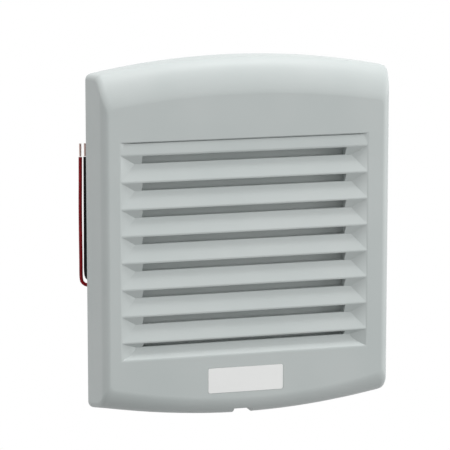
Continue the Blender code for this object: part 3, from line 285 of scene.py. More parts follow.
def insulation(name, colours):
    """Extruded soft vinyl lead insulation: deep colour under a faint sheen, with extrusion lines."""
    material, tree, shader = start_material(name, 0.45)
    shader.inputs["Specular IOR Level"].default_value = 0.2
    place = add(tree, "ShaderNodeTexCoord").outputs["Object"]
    lines = add(tree, "ShaderNodeMapping", {"Vector": place, "Scale": (1.0, 1.0, 0.04)}).outputs["Vector"]
    # Extrusion lines are drawn coarser than real ones, which would not show
    drawn = add(tree, "ShaderNodeTexNoise", {"Vector": lines, "Scale": per(0.25), "Detail": 2.0})
    smear = add(tree, "ShaderNodeTexNoise", {"Vector": place, "Scale": per(4.0), "Detail": 2.0})
    dress(tree, shader, smear.outputs["Fac"], (0.3, 0.7), colours, drawn.outputs["Fac"], (0.15, 0.02))
    return material


def filter_fibre(name, colours):
    """Thermally bonded polyester fleece: matt, crossing fibres about 0.5 mm apart, thicker clouds."""
    material, tree, shader = start_material(name, 0.95)
    place = add(tree, "ShaderNodeTexCoord").outputs["Object"]
    height = None
    # Real fibres are a few hundredths of a millimetre thick, so they are drawn coarser to show
    for turn in (0.4, 1.5, 2.6):
        lay = {"Vector": place, "Rotation": (0.0, turn, 0.0), "Scale": (1.0, 1.0, 0.08)}
        along = add(tree, "ShaderNodeMapping", lay).outputs["Vector"]
        fibre = add(tree, "ShaderNodeTexNoise", {"Vector": along, "Scale": per(0.5), "Detail": 2.0})
        layer = fibre.outputs["Fac"]
        if height is not None:
            layer = add(tree, "ShaderNodeMath", {0: height, 1: layer}, operation="MAXIMUM").outputs[0]
        height = layer
    cloud = add(tree, "ShaderNodeTexNoise", {"Vector": place, "Scale": per(7.0), "Detail": 3.0})
    # The tone falls where the fibres lie low, painted shade between them, and falls further where the clouds
    # are thin
    tone = add(tree, "ShaderNodeMath", {0: height, 1: cloud.outputs["Fac"]}, operation="MULTIPLY")
    dress(tree, shader, tone.outputs[0], (0.15, 0.45), colours, height, (0.7, 0.25))
    shader.inputs["Sheen Weight"].default_value = 0.25
    return material


def cellular_foam(name, colours):
    """Closed-cell foam strip: dark, matt, with cells of about 0.6 mm."""
    material, tree, shader = start_material(name, 0.9)
    place = add(tree, "ShaderNodeTexCoord").outputs["Object"]
    cells = add(tree, "ShaderNodeTexVoronoi", {"Vector": place, "Scale": per(0.6)}).outputs["Distance"]
    # Each cell is darker at its middle, where the bump sinks it: painted shade in the cell pits
    dress(tree, shader, cells, (0.0, 0.6), colours, cells, (0.6, 0.15))
    return material


def banded(name, colours, roughness, distance, pitch, relief):
    """Metal in bright and dark bands of one pitch, over a distance that the caller works out."""
    material, tree, shader = start_material(name, roughness, 1.0)
    turns = {0: distance(tree), 1: 2.0 * math.pi / pitch}
    phase = add(tree, "ShaderNodeMath", turns, operation="MULTIPLY").outputs[0]
    bands = add(tree, "ShaderNodeMath", {0: phase}, operation="SINE").outputs[0]
    dress(tree, shader, bands, (-1.0, 1.0), colours, bands, relief)
    return material, shader


def from_axis(tree):
    """The distance from the fan's axis."""
    place = add(tree, "ShaderNodeTexCoord").outputs["Object"]
    parts = add(tree, "ShaderNodeSeparateXYZ", {"Vector": place})
    squares = [
        add(tree, "ShaderNodeMath", {0: parts.outputs[side], 1: 2.0}, operation="POWER").outputs[0]
        for side in ("X", "Z")
    ]
    total = add(tree, "ShaderNodeMath", {0: squares[0], 1: squares[1]}, operation="ADD").outputs[0]
    return add(tree, "ShaderNodeMath", {0: total}, operation="SQRT").outputs[0]


def along_axis(tree):
    """The distance along the fan's axis."""
    place = add(tree, "ShaderNodeTexCoord").outputs["Object"]
    return add(tree, "ShaderNodeSeparateXYZ", {"Vector": place}).outputs["Y"]


def winding(name, colours):
    """Enamelled copper wire of 0.3 mm wound side by side: fine bands with a lacquered gloss."""
    # The dark bands between the turns are painted shade in the grooves; the bump gives each turn its relief
    material, shader = banded(name, colours, 0.28, from_axis, 0.3 * MM, (0.6, 0.1))
    shader.inputs["Coat Weight"].default_value = 0.4
    return material


def stacked_sheet(name, colours):
    """Stamped electrical sheet, 0.5 mm each, stacked along the axis: dark with burnished edges."""
    return banded(name, colours, 0.45, along_axis, 0.5 * MM, (0.5, 0.08))[0]


def circuit_board(name, colours):
    """Glass-epoxy board under green solder mask: tracks show as lighter lines about 0.8 mm wide."""
    material, tree, shader = start_material(name, 0.3)
    place = add(tree, "ShaderNodeTexCoord").outputs["Object"]
    cells = {"Vector": place, "Scale": per(3.0)}
    track = add(tree, "ShaderNodeTexVoronoi", cells, feature="DISTANCE_TO_EDGE").outputs["Distance"]
    edge = {"Value": track, "From Min": 0.1, "From Max": 0.16, "To Min": 1.0, "To Max": 0.0}
    raised = add(tree, "ShaderNodeMapRange", edge).outputs["Result"]
    dress(tree, shader, track, (0.1, 0.16), colours, raised, (0.4, 0.05))
    shader.inputs["Coat Weight"].default_value = 0.3
    return material


def tones(dark, light):
    """A finish's two tones from their sRGB hex values."""
    return linear(dark), linear(light)


def give(material, *nodes):
    """Puts the material in the slots of solids that keep their own shape."""
    for name in nodes:
        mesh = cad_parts[name].data
        mesh.materials.clear()
        mesh.materials.append(material)


# Mesh helpers


def make_object(name, points, faces):
    """A mesh object with its faces turned outwards."""
    mesh = bpy.data.meshes.new(name)
    mesh.from_pydata([Vector(point) for point in points], [], faces)
    work = bmesh.new()
    work.from_mesh(mesh)
    bmesh.ops.recalc_face_normals(work, faces=work.faces)
    work.to_mesh(mesh)
    work.free()
    made = bpy.data.objects.new(name, mesh)
    bpy.context.scene.collection.objects.link(made)
    return made


def loft(rings, closed=False):
    """Quads between rings of equal length, with flat ends unless the row of rings is closed."""
    count = len(rings[0])
    points = [point for ring in rings for point in ring]
    faces = []
    for row in range(len(rings) if closed else len(rings) - 1):
        start = row * count
        after = ((row + 1) % len(rings)) * count
        for index in range(count):
            beside = (index + 1) % count
            faces.append((start + index, start + beside, after + beside, after + index))
    if not closed:
        faces.append(tuple(range(count)))
        faces.append(tuple(range((len(rings) - 1) * count, len(rings) * count)))
    return points, faces


def together(*shapes):
    """Several shapes as one."""
    points = []
    faces = []
    for more_points, more_faces in shapes:
        first = len(points)
        points.extend(more_points)
        faces.extend([tuple(first + index for index in face) for face in more_faces])
    return points, faces


def block(low, high):
    """A box between its lowest and highest corner."""
    (x0, y0, z0), (x1, y1, z1) = low, high
    return loft([[(x0, y, z0), (x1, y, z0), (x1, y, z1), (x0, y, z1)] for y in (y0, y1)])


def along_y(outline, front, back):
    """A prism along Y of an outline in X and Z."""
    return loft([[(x, y, z) for x, z in outline] for y in (front, back)])


def along_x(outline, left, right):
    """A prism along X of an outline in Y and Z."""
    return loft([[(x, y, z) for y, z in outline] for x in (left, right)])


def circle(radius, segments, x=0.0, z=0.0):
    """Points round a circle in one plane."""
    turn = 2.0 * math.pi / segments
    return [(x + radius * math.cos(turn * i), z + radius * math.sin(turn * i)) for i in range(segments)]


def rounded_box(left, right, bottom, top, radius, steps=6):
    """The outline of a rectangle with rounded corners."""
    outline = []
    for x, z, start in ((right, top, 0.0), (left, top, 0.5), (left, bottom, 1.0), (right, bottom, 1.5)):
        centre_x = x - radius if x == right else x + radius
        centre_z = z - radius if z == top else z + radius
        for step in range(steps + 1):
            angle = math.pi * (start + 0.5 * step / steps)
            outline.append((centre_x + radius * math.cos(angle), centre_z + radius * math.sin(angle)))
    return outline


def apply_modifiers(made):
    """Puts the modified mesh in place of the object's own."""
    bpy.context.view_layer.update()
    graph = bpy.context.evaluated_depsgraph_get()
    mesh = bpy.data.meshes.new_from_object(made.evaluated_get(graph))
    made.modifiers.clear()
    before = made.data
    made.data = mesh
    bpy.data.meshes.remove(before)


def combine(target, shape, operation):
    """Joins a shape to the target or cuts it out."""
    tool = make_object("tool", *shape)
    modifier = target.modifiers.new("shape", "BOOLEAN")
    modifier.operation = operation
    modifier.solver = "EXACT"
    modifier.object = tool
    apply_modifiers(target)
    bpy.data.objects.remove(tool)


def shade(made, material, angle=32.0, weighted=True):
    """Smooth shading with kept creases, and normals that follow the larger faces."""
    made.data.materials.clear()
    made.data.materials.append(material)
    made.data.shade_smooth()
    made.data.set_sharp_from_angle(angle=math.radians(angle))
    if weighted:
        modifier = made.modifiers.new("normals", "WEIGHTED_NORMAL")
        modifier.keep_sharp = True
        modifier.weight = 80
        apply_modifiers(made)
    return made


def smooth_route(route, samples):
    """Evenly spaced points on a smooth curve through the route's points, given in X and Z."""
    spots = [Vector((x * MM, 0.0, z * MM)) for x, z in route]
    ends = [spots[0] * 2 - spots[1], *spots, spots[-1] * 2 - spots[-2]]
    dense = []
    for index in range(1, len(ends) - 2):
        before, here, there, after = ends[index - 1 : index + 3]
        for step in range(ROUTE_STEPS):
            part = step / ROUTE_STEPS
            turned = (2.0 * before - 5.0 * here + 4.0 * there - after) * part**2
            bent = (3.0 * here - before - 3.0 * there + after) * part**3
            dense.append(0.5 * (2.0 * here + (there - before) * part + turned + bent))
    dense.append(spots[-1])
    lengths = [0.0]
    for first, second in zip(dense, dense[1:]):
        lengths.append(lengths[-1] + (second - first).length)
    even = []
    at = 0
    for index in range(samples):
        wanted = lengths[-1] * index / (samples - 1)
        while at < len(dense) - 2 and lengths[at + 1] < wanted:
            at += 1
        share = (wanted - lengths[at]) / (lengths[at + 1] - lengths[at])
        even.append(dense[at].lerp(dense[at + 1], share))
    return even


def wire_ring(radius, y, wire, segments, x=0.0, z=0.0):
    """A closed wire, turned half a section so that no bar crosses it right on one."""
    rings = []
    for index in range(segments):
        angle = 2.0 * math.pi * (index + 0.5) / segments
        ring = []
        for out, back in circle(wire, 12, radius, y):
            ring.append((x + out * math.cos(angle), back, z + out * math.sin(angle)))
        rings.append(ring)
    return loft(rings, closed=True)


def wire_bar(reach, slant, y, wire):
    """A straight wire through the axis, from corner to corner."""
    across = Vector((slant, 0.0, -1.0)).normalized()
    rings = []
    for end in (-reach, reach):
        middle = Vector((end, y, slant * end))
        rings.append([middle + across * out + Vector((0.0, back, 0.0)) for out, back in circle(wire, 16)])
    return loft(rings)


# Cover shape


def inset_at(depth, whole, fillet, fullness=2.0):
    """How far a rounded edge has turned in at a depth; a fullness of 2 is an ellipse, less is flatter."""
    start = whole - fillet[0]
    if depth <= start:
        return 0.0
    share = min((depth - start) / fillet[0], 1.0)
    return fillet[1] * (1.0 - max(1.0 - share**fullness, 0.0) ** (1.0 / fullness))


def cover_outline(sizes, depth, wall):
    """The cover's outline in X and Z at a depth from the rear rim, moved inwards by the wall."""
    whole = sizes.depth - wall
    part = depth / sizes.depth
    side = (sizes.side_fillet - wall, sizes.side_fillet - wall)
    half = sizes.width / 2 - wall - sizes.draft * part - inset_at(depth, whole, side)
    top = sizes.height / 2 - wall - inset_at(depth, whole, [f - wall for f in TOP_FILLET], TOP_FULLNESS)
    bottom = -sizes.height / 2 + wall + inset_at(depth, whole, [f - wall for f in BOTTOM_FILLET])
    radius = sizes.corner - INNER_CORNER * wall
    reach = (sizes.width / 2) ** 2
    steps, spans = INNER_STEPS if wall else OUTER_STEPS
    outline = []
    for sign, level, arches in ((1, top, TOP_ARCH), (-1, bottom, BOTTOM_ARCH)):
        arch = arches[0] + (arches[1] - arches[0]) * part
        slope = math.atan(2.0 * arch * (half - radius) / reach)
        contact = half - radius + radius * math.sin(slope)
        centre = abs(level) - arch * contact**2 / reach - radius * math.cos(slope)
        corner = []
        for step in range(steps):
            angle = (math.pi / 2 - slope) * step / (steps - 1)
            corner.append((half - radius + radius * math.cos(angle), centre + radius * math.sin(angle)))
        arc = []
        for step in range(1, spans):
            x = contact * (1.0 - 2.0 * step / spans)
            arc.append((x, abs(level) - arch * x * x / reach))
        mirrored = [(-x, z) for x, z in reversed(corner)]
        outline.extend([(sign * x, sign * z) for x, z in corner + arc + mirrored])
    return outline


def cover_rings(sizes, wall, rear):
    """The shell's outlines from the rear to the front face, outside without a wall and inside with one."""
    whole = sizes.depth - wall
    deepest = BOTTOM_FILLET[0] - wall
    turns = INNER_TURNS if wall else OUTER_TURNS
    depths = [rear] + [whole - deepest * (1.0 - math.sin(math.radians(turn))) for turn in turns]
    return [[(x, -STANDOFF - d, z + RISE) for x, z in cover_outline(sizes, d, wall)] for d in depths]


def pocket(top, bottom, shelf, front, taper=NARROWING / RECESS):
    """The space in front of one slat, tapering inwards at both ends; the shelf ends on the front plane."""
    profile = [(-OVERCUT, bottom), (0.0, bottom), *shelf, (-OVERCUT, top)]
    rings = []
    for side in (-1, 1):
        ring = []
        for depth, z in profile:
            ring.append((WINDOW_MIDDLE + side * (WINDOW_HALF - taper * max(depth, 0.0)), front + depth, z))
        rings.append(ring)
    points, faces = loft(rings)
    faces = faces[:-2]
    last = len(profile) - 1
    for start in (0, len(profile)):
        faces.append((start, start + 1, start + last - 1, start + last))
        faces.append(tuple(range(start + 1, start + last)))
    return points, faces


def round_window(cover, front, width):
    """Rounds every edge where the window and its lips meet the front face."""
    work = bmesh.new()
    work.from_mesh(cover.data)
    chosen = []
    for edge in work.edges:
        ends = [vertex.co for vertex in edge.verts]
        across = [abs(end.x - WINDOW_MIDDLE) for end in ends]
        if max(abs(end.y - front) for end in ends) > NEAR or max(across) > WINDOW_HALF + NEAR:
            continue
        if any(end.z > WINDOW_TOP + NEAR or end.z < WINDOW_BOTTOM - NEAR for end in ends):
            continue
        level = abs(ends[0].z - ends[1].z) < NEAR
        upright = all(abs(reach - WINDOW_HALF) < NEAR for reach in across)
        if level or upright:
            chosen.append(edge)
    bmesh.ops.bevel(work, geom=chosen, offset=width, segments=3, profile=0.5, affect="EDGES")
    work.to_mesh(cover.data)
    work.free()


def cut_louvres(cover, front, rounding):
    """A panel behind the front, a pocket in front of each slat and a slot under each lip."""
    panel = block(
        (-WINDOW_HALF - PANEL_BORDER, front + PANEL_DEPTHS[0], WINDOW_BOTTOM - PANEL_BORDER),
        (WINDOW_HALF + PANEL_BORDER, front + PANEL_DEPTHS[1], WINDOW_TOP + PANEL_BORDER),
    )
    combine(cover, panel, "UNION")
    groove = WINDOW_TOP - GROOVE[0]
    shelf = [(HEAD_RECESS, groove), (GROOVE[1], groove), (GROOVE[1], WINDOW_TOP), (0.0, WINDOW_TOP)]
    pockets = [pocket(WINDOW_TOP, LIPS[0], shelf, front, HEAD_TAPER)]
    for upper, lower in zip(LIPS, LIPS[1:]):
        pockets.append(pocket(upper, lower, [(RECESS, upper - GAP), (0.0, upper)], front))
    shelf = []
    for step in range(1, COVE_STEPS):
        share = step / COVE_STEPS
        depth = RECESS * math.sin(share * math.pi / 2) ** COVE_CURVE
        shelf.append((depth, WINDOW_BOTTOM + (COVE - LAST_GAP) * share))
    shelf += [(RECESS, LIPS[-1] - LAST_GAP), (0.0, LIPS[-1])]
    pockets.append(pocket(LIPS[-1], WINDOW_BOTTOM, shelf, front))
    for shape in pockets:
        combine(cover, shape, "DIFFERENCE")
    round_window(cover, front, rounding)
    slots = []
    for lip in LIPS:
        gap = LAST_GAP if lip == LIPS[-1] else GAP
        low = (WINDOW_MIDDLE - SLOT_HALF, front + SLOT_DEPTHS[0], lip - gap + SLOT_FLOOR)
        high = (WINDOW_MIDDLE + SLOT_HALF, front + SLOT_DEPTHS[1], lip - SLOT_LIP)
        slots.append(block(low, high))
    combine(cover, together(*slots), "DIFFERENCE")


def add_baffles(cover, front):
    """An upright web at each end of the slots, and between the webs a baffle behind each slot."""
    webs = []
    for side in (-1, 1):
        inner, outer = sorted((WINDOW_MIDDLE + side * WEB[0], WINDOW_MIDDLE + side * WEB[1]))
        low = (inner, front + WEB_DEPTHS[0], LIPS[-1] - WEB_REACH[0])
        webs.append(block(low, (outer, front + WEB_DEPTHS[1], LIPS[0] + WEB_REACH[1])))
    combine(cover, together(*webs), "UNION")
    baffles = []
    for lip in LIPS:
        low = (WINDOW_MIDDLE - WEB[1], front + BAFFLE_DEPTHS[0], lip - BAFFLE_REACH[0])
        high = (WINDOW_MIDDLE + WEB[1], front + BAFFLE_DEPTHS[1], lip + BAFFLE_REACH[1])
        baffles.append(block(low, high))
    combine(cover, together(*baffles), "UNION")


def on_both_sides(outline, near, far):
    """The same prism along X on the left and on the right."""
    return together(along_x(outline, -far, -near), along_x(outline, near, far))


def add_latch(cover, sizes, front):
    """The finger notch, and the latch bead on both sides of it."""
    notch = [
        (NOTCH_TOP[0], NOTCH_LEVEL),
        (NOTCH_TOP[1], NOTCH_LEVEL),
        (NOTCH_BOTTOM[1], NOTCH_LEVEL - NOTCH_HEIGHT),
        (NOTCH_BOTTOM[0], NOTCH_LEVEL - NOTCH_HEIGHT),
    ]
    combine(cover, along_y(notch, front - OVERCUT, 0.0), "DIFFERENCE")
    floor = -sizes.height / 2 + RISE + sizes.wall
    bead = [
        (BEAD_FOOT[0], floor - BEAD_SINK),
        (BEAD_CREST[0], floor + BEAD_HEIGHT),
        (BEAD_CREST[1], floor + BEAD_HEIGHT),
        (BEAD_FOOT[1], floor - BEAD_SINK),
    ]
    combine(cover, on_both_sides(bead, *BEAD), "UNION")


def add_hinge(cover):
    """Two lugs with a round lower end, and the pin on each."""
    y, z = HINGE
    lug = []
    for step in range(LUG_STEPS + 1):
        angle = math.pi + math.pi * step / LUG_STEPS
        lug.append((y + LUG_RADIUS * math.cos(angle), z + LUG_RADIUS * math.sin(angle)))
    lug += [(y + LUG_RADIUS, z + LUG_HEIGHT), (y - LUG_RADIUS, z + LUG_HEIGHT)]
    combine(cover, on_both_sides(lug, *LUG_ENDS), "UNION")
    combine(cover, on_both_sides(circle(PIN_RADIUS, 32, y, z), *PIN_ENDS), "UNION")


def plate_outline(shrink):
    """The blank plate's outline in X and Z, drawn in from its seat."""
    left, right = PLATE_SIDES
    bottom, top = PLATE_ENDS
    corner = PLATE_CORNER - shrink / 2
    return rounded_box(left + shrink, right - shrink, bottom + shrink, top - shrink, corner)


def build_cover(sizes, material):
    """The whole cover, one moulding."""
    front = -STANDOFF - sizes.depth
    cover = make_object("cover_shell", *loft(cover_rings(sizes, 0.0, 0.0)))
    combine(cover, loft(cover_rings(sizes, sizes.wall, -OVERCUT)), "DIFFERENCE")
    cut_louvres(cover, front, sizes.lip_rounding)
    add_baffles(cover, front)
    add_latch(cover, sizes, front)
    add_hinge(cover)
    combine(cover, along_y(plate_outline(0.0), front - OVERCUT, front + PLATE_SEAT), "DIFFERENCE")
    return shade(cover, material, angle=14.0)


# Settings


class CoverSizes(bpy.types.PropertyGroup):
    width: bpy.props.FloatProperty(
        name="Width", description="Width at the rear rim", default=117.0 * MM, unit="LENGTH"
    )
    height: bpy.props.FloatProperty(
        name="Height", description="Height at the middle of both arches", default=136.4 * MM, unit="LENGTH"
    )
    depth: bpy.props.FloatProperty(
        name="Depth", description="Rear rim to front face", default=15.5 * MM, unit="LENGTH"
    )
    wall: bpy.props.FloatProperty(name="Wall", description="Wall thickness", default=2.0 * MM, unit="LENGTH")
    draft: bpy.props.FloatProperty(
        name="Draft", description="How far a side leans in at the front", default=2.75 * MM, unit="LENGTH"
    )
    side_fillet: bpy.props.FloatProperty(
        name="Side fillet", description="Rounding of the side edges", default=2.66 * MM, unit="LENGTH"
    )
    corner: bpy.props.FloatProperty(
        name="Corner", description="Rounding of the four corners", default=2.55 * MM, unit="LENGTH"
    )
    lip_rounding: bpy.props.FloatProperty(
        name="Lip rounding", description="Rounding of each louvre's lip", default=0.4 * MM, unit="LENGTH"
    )


class LeadSizes(bpy.types.PropertyGroup):
    diameter: bpy.props.FloatProperty(
        name="Diameter", description="Outer diameter of the insulation", default=1.4 * MM, unit="LENGTH"
    )
    strand: bpy.props.FloatProperty(
        name="Strand", description="Diameter of one bare wire", default=0.3 * MM, unit="LENGTH"
    )
    bare: bpy.props.FloatProperty(
        name="Bare end", description="Length of the stripped end", default=5.0 * MM, unit="LENGTH"
    )


class GuardSizes(bpy.types.PropertyGroup):
    ring_wire: bpy.props.FloatProperty(
        name="Ring wire", description="Diameter of the rings and eyes", default=1.56 * MM, unit="LENGTH"
    )
    bar_wire: bpy.props.FloatProperty(
        name="Bar wire", description="Diameter of the two crossed wires", default=1.5 * MM, unit="LENGTH"
    )


class FinishColours(bpy.types.PropertyGroup):
    cover_dark: bpy.props.FloatVectorProperty(
        name="Cover dark", description="Deeper tone of the cover", subtype="COLOR",
        size=4, default=linear("BDC4C3"),
    )
    cover_light: bpy.props.FloatVectorProperty(
        name="Cover light", description="Paler tone of the cover", subtype="COLOR",
        size=4, default=linear("C2C8C7"),
    )
    # The frame's tones are set a little darker than the cover's: painted shade for the flange behind the
    # cover
    frame_dark: bpy.props.FloatVectorProperty(
        name="Frame dark", description="Deeper tone of the frame", subtype="COLOR",
        size=4, default=linear("AEB4B3"),
    )
    frame_light: bpy.props.FloatVectorProperty(
        name="Frame light", description="Paler tone of the frame", subtype="COLOR",
        size=4, default=linear("B4B9B8"),
    )
    red_dark: bpy.props.FloatVectorProperty(
        name="Red dark", description="Deeper tone of the lead", subtype="COLOR",
        size=4, default=linear("800812"),
    )
    red_light: bpy.props.FloatVectorProperty(
        name="Red light", description="Paler tone of the lead", subtype="COLOR",
        size=4, default=linear("9A101C"),
    )
    black_dark: bpy.props.FloatVectorProperty(
        name="Black dark", description="Deeper tone of the lead", subtype="COLOR",
        size=4, default=linear("030303"),
    )
    black_light: bpy.props.FloatVectorProperty(
        name="Black light", description="Paler tone of the lead", subtype="COLOR",
        size=4, default=linear("080808"),
    )


class ViewSettings(bpy.types.PropertyGroup):
    azimuth: bpy.props.FloatProperty(
        name="Azimuth",
        description="Camera angle round the object, to its left",
        default=math.radians(16.127),
        subtype="ANGLE",
    )
    elevation: bpy.props.FloatProperty(
        name="Elevation",
        description="Camera angle above level",
        default=math.radians(10.209),
        subtype="ANGLE",
    )
    distance: bpy.props.FloatProperty(
        name="Distance", description="Camera to target", default=1009.4 * MM, unit="LENGTH"
    )
    key: bpy.props.FloatProperty(
        name="Key light", description="Power of the small lamp almost overhead", default=1.07, unit="POWER"
    )
    side: bpy.props.FloatProperty(
        name="Side light", description="Power of the lamp on the right", default=1.23, unit="POWER"
    )
    top: bpy.props.FloatProperty(
        name="Top light", description="Power of the lamp above and behind", default=0.31, unit="POWER"
    )
    sky: bpy.props.FloatProperty(name="Sky", description="Strength of the even light", default=0.85)


# Operators


class FAN_OT_stage(bpy.types.Operator):
    """Camera, lights, world and floor"""

    bl_idname = "filter_fan.stage"
    bl_label = "Stage"

    def execute(self, context):
        settings = context.scene.fan_view
        scene = context.scene
        scene.view_settings.view_transform = "Standard"
        self.add_camera(scene, settings)
        for name, (place, size, setting) in LAMPS.items():
            self.add_lamp(scene, name, Vector(place), size, getattr(settings, setting))
        self.make_world(scene, settings)
        floor = make_object("floor", *block(*FLOOR))
        floor.data.materials.append(self.floor_material())
        return {"FINISHED"}

    def add_camera(self, scene, settings):
        """A camera that looks at the target from the set angles and distance."""
        azimuth = settings.azimuth
        elevation = settings.elevation
        across = math.cos(elevation)
        back = Vector((-math.sin(azimuth) * across, -math.cos(azimuth) * across, math.sin(elevation)))
        camera = bpy.data.objects.new("camera", bpy.data.cameras.new("camera"))
        camera.location = TARGET + back * settings.distance
        camera.rotation_euler = (-back).to_track_quat("-Z", "Y").to_euler()
        camera.data.sensor_width = SENSOR
        camera.data.lens = FOCAL_PIXELS * SENSOR / PICTURE_PIXELS
        camera.data.clip_start = 0.01
        scene.collection.objects.link(camera)
        scene.camera = camera

    def add_lamp(self, scene, name, place, size, power):
        """A square soft box that faces the object."""
        data = bpy.data.lights.new(name, "AREA")
        data.size = size
        data.spread = LAMP_SPREAD
        data.energy = power
        lamp = bpy.data.objects.new(name, data)
        lamp.location = place
        lamp.rotation_euler = place.to_track_quat("Z", "Y").to_euler()
        scene.collection.objects.link(lamp)

    def seen(self, tree):
        """1 for what the camera, a mirror or glass sees, and 0 for light that falls on the object."""
        path = add(tree, "ShaderNodeLightPath").outputs
        rays = {0: path["Is Camera Ray"], 1: path["Is Glossy Ray"]}
        pair = add(tree, "ShaderNodeMath", rays, operation="ADD").outputs[0]
        rays = {0: pair, 1: path["Is Transmission Ray"]}
        return add(tree, "ShaderNodeMath", rays, operation="ADD", use_clamp=True).outputs[0]

    def make_world(self, scene, settings):
        """Even light of a set strength, seen as plain white."""
        world = bpy.data.worlds.new("studio")
        world.use_nodes = True
        scene.world = world
        tree = world.node_tree
        background = tree.nodes["Background"]
        background.inputs["Color"].default_value = linear("FFFFFF")
        levels = {"Value": self.seen(tree), "To Min": settings.sky, "To Max": 1.0}
        strength = add(tree, "ShaderNodeMapRange", levels).outputs["Result"]
        tree.links.new(strength, background.inputs["Strength"])

    def floor_material(self):
        """White paper: lit plainly, and shown white to the camera."""
        material, tree, shader = start_material("studio floor, matt white paper", 0.9)
        shader.inputs["Base Color"].default_value = linear("8A8A8A")
        glow = add(tree, "ShaderNodeEmission", {"Color": linear("FFFFFF"), "Strength": 1.0}).outputs[0]
        mix = add(tree, "ShaderNodeMixShader", {0: self.seen(tree), 1: shader.outputs[0], 2: glow})
        tree.links.new(mix.outputs[0], tree.nodes["Material Output"].inputs["Surface"])
        return material


class FAN_OT_leads(bpy.types.Operator):
    """Red and black leads with their stripped, twisted ends"""

    bl_idname = "filter_fan.leads"
    bl_label = "Leads"

    def execute(self, context):
        sizes = context.scene.fan_leads
        colours = context.scene.fan_colours
        # Drawn copper: fine lines along each wire that catch a pale light
        copper = tones("C2A69E", "DCC8C2")
        bare = metal("stripped copper wire, drawn", copper, 0.36, streak=(1.0, 1.0, 0.1))
        for colour, route, pair in (
            ("red", RED_ROUTE, (colours.red_dark, colours.red_light)),
            ("black", BLACK_ROUTE, (colours.black_dark, colours.black_light)),
        ):
            finish = insulation(colour + " lead insulation, extruded vinyl", pair)
            lead = self.make_lead(colour + "_lead_line", route, sizes, finish)
            strands = self.make_strands(colour + "_bare_end", route, sizes, bare)
            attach(lead, "frame")
            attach(strands, "frame")
            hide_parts(colour + "_lead")
            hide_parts(colour + "_strands")
        return {"FINISHED"}

    def make_lead(self, name, route, sizes, material):
        """One insulated lead along its route, at its own depth."""
        spots = smooth_route(route, LEAD_SAMPLES)
        curve = bpy.data.curves.new(name, "CURVE")
        curve.dimensions = "3D"
        spline = curve.splines.new("POLY")
        spline.points.add(len(spots) - 1)
        for point, spot in zip(spline.points, spots):
            point.co = (spot.x, LEAD_Y * MM, spot.z, 1.0)
        curve.bevel_depth = sizes.diameter / 2 - LEAD_INSET
        curve.bevel_resolution = 5
        curve.use_fill_caps = True
        curve.materials.append(material)
        made = bpy.data.objects.new(name, curve)
        bpy.context.scene.collection.objects.link(made)
        return made

    def make_strands(self, name, route, sizes, material):
        """Seven wires twisted together, the outer six spreading a little at the cut."""
        x = route[-1][0] * MM
        start = route[-1][1] * MM + WIRE_START
        shapes = []
        for number in range(WIRES):
            whole = sizes.bare * (1.0 - CUT_STEP * (number % 3))
            rings = []
            for level in range(WIRE_LEVELS + 1):
                share = level / WIRE_LEVELS
                reach = WIRE_SPACING * (WIRE_SPREAD[0] + WIRE_SPREAD[1] * share) if number else 0.0
                angle = math.radians(360.0 / (WIRES - 1) * number + WIRE_TWIST * share)
                centre = (x + reach * math.cos(angle), LEAD_Y * MM + reach * math.sin(angle))
                height = start + whole * share
                rings.append([(cx, cy, height) for cx, cy in circle(sizes.strand / 2, 10, *centre)])
            shapes.append(loft(rings))
        return shade(make_object(name, *together(*shapes)), material, angle=50.0, weighted=False)


class FAN_OT_cover(bpy.types.Operator):
    """Louvred cover and the blank plate on it"""

    bl_idname = "filter_fan.cover"
    bl_label = "Cover"

    def execute(self, context):
        sizes = context.scene.fan_cover
        colours = context.scene.fan_colours
        pair = (colours.cover_dark, colours.cover_light)
        # The eroded grain gives the pale grey a soft, even sheen
        cover = build_cover(sizes, moulded("ABS, moulded, fine eroded grain, pale grey", pair, 0.46))
        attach(cover, "cover")
        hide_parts("front_cover")
        plate = self.make_plate(-STANDOFF - sizes.depth)
        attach(plate, "cover")
        return {"FINISHED"}

    def make_plate(self, front):
        """A thin plate in its seat, with a small bevel round its face."""
        rings = []
        for depth, shrink in (
            (PLATE_BACK, PLATE_GAP),
            (PLATE_EDGE, PLATE_GAP),
            (PLATE_FACE, PLATE_GAP + PLATE_BEVEL),
        ):
            rings.append([(x, front + depth, z) for x, z in plate_outline(shrink)])
        # Smooth white film with a satin face
        pair = tones("F2F3F2", "F6F7F6")
        film = moulded("polyester film, matt white, unprinted", pair, 0.4, grain=0.2, relief=(0.04, 0.03))
        return shade(make_object("blank_plate", *loft(rings)), film, angle=20.0, weighted=False)


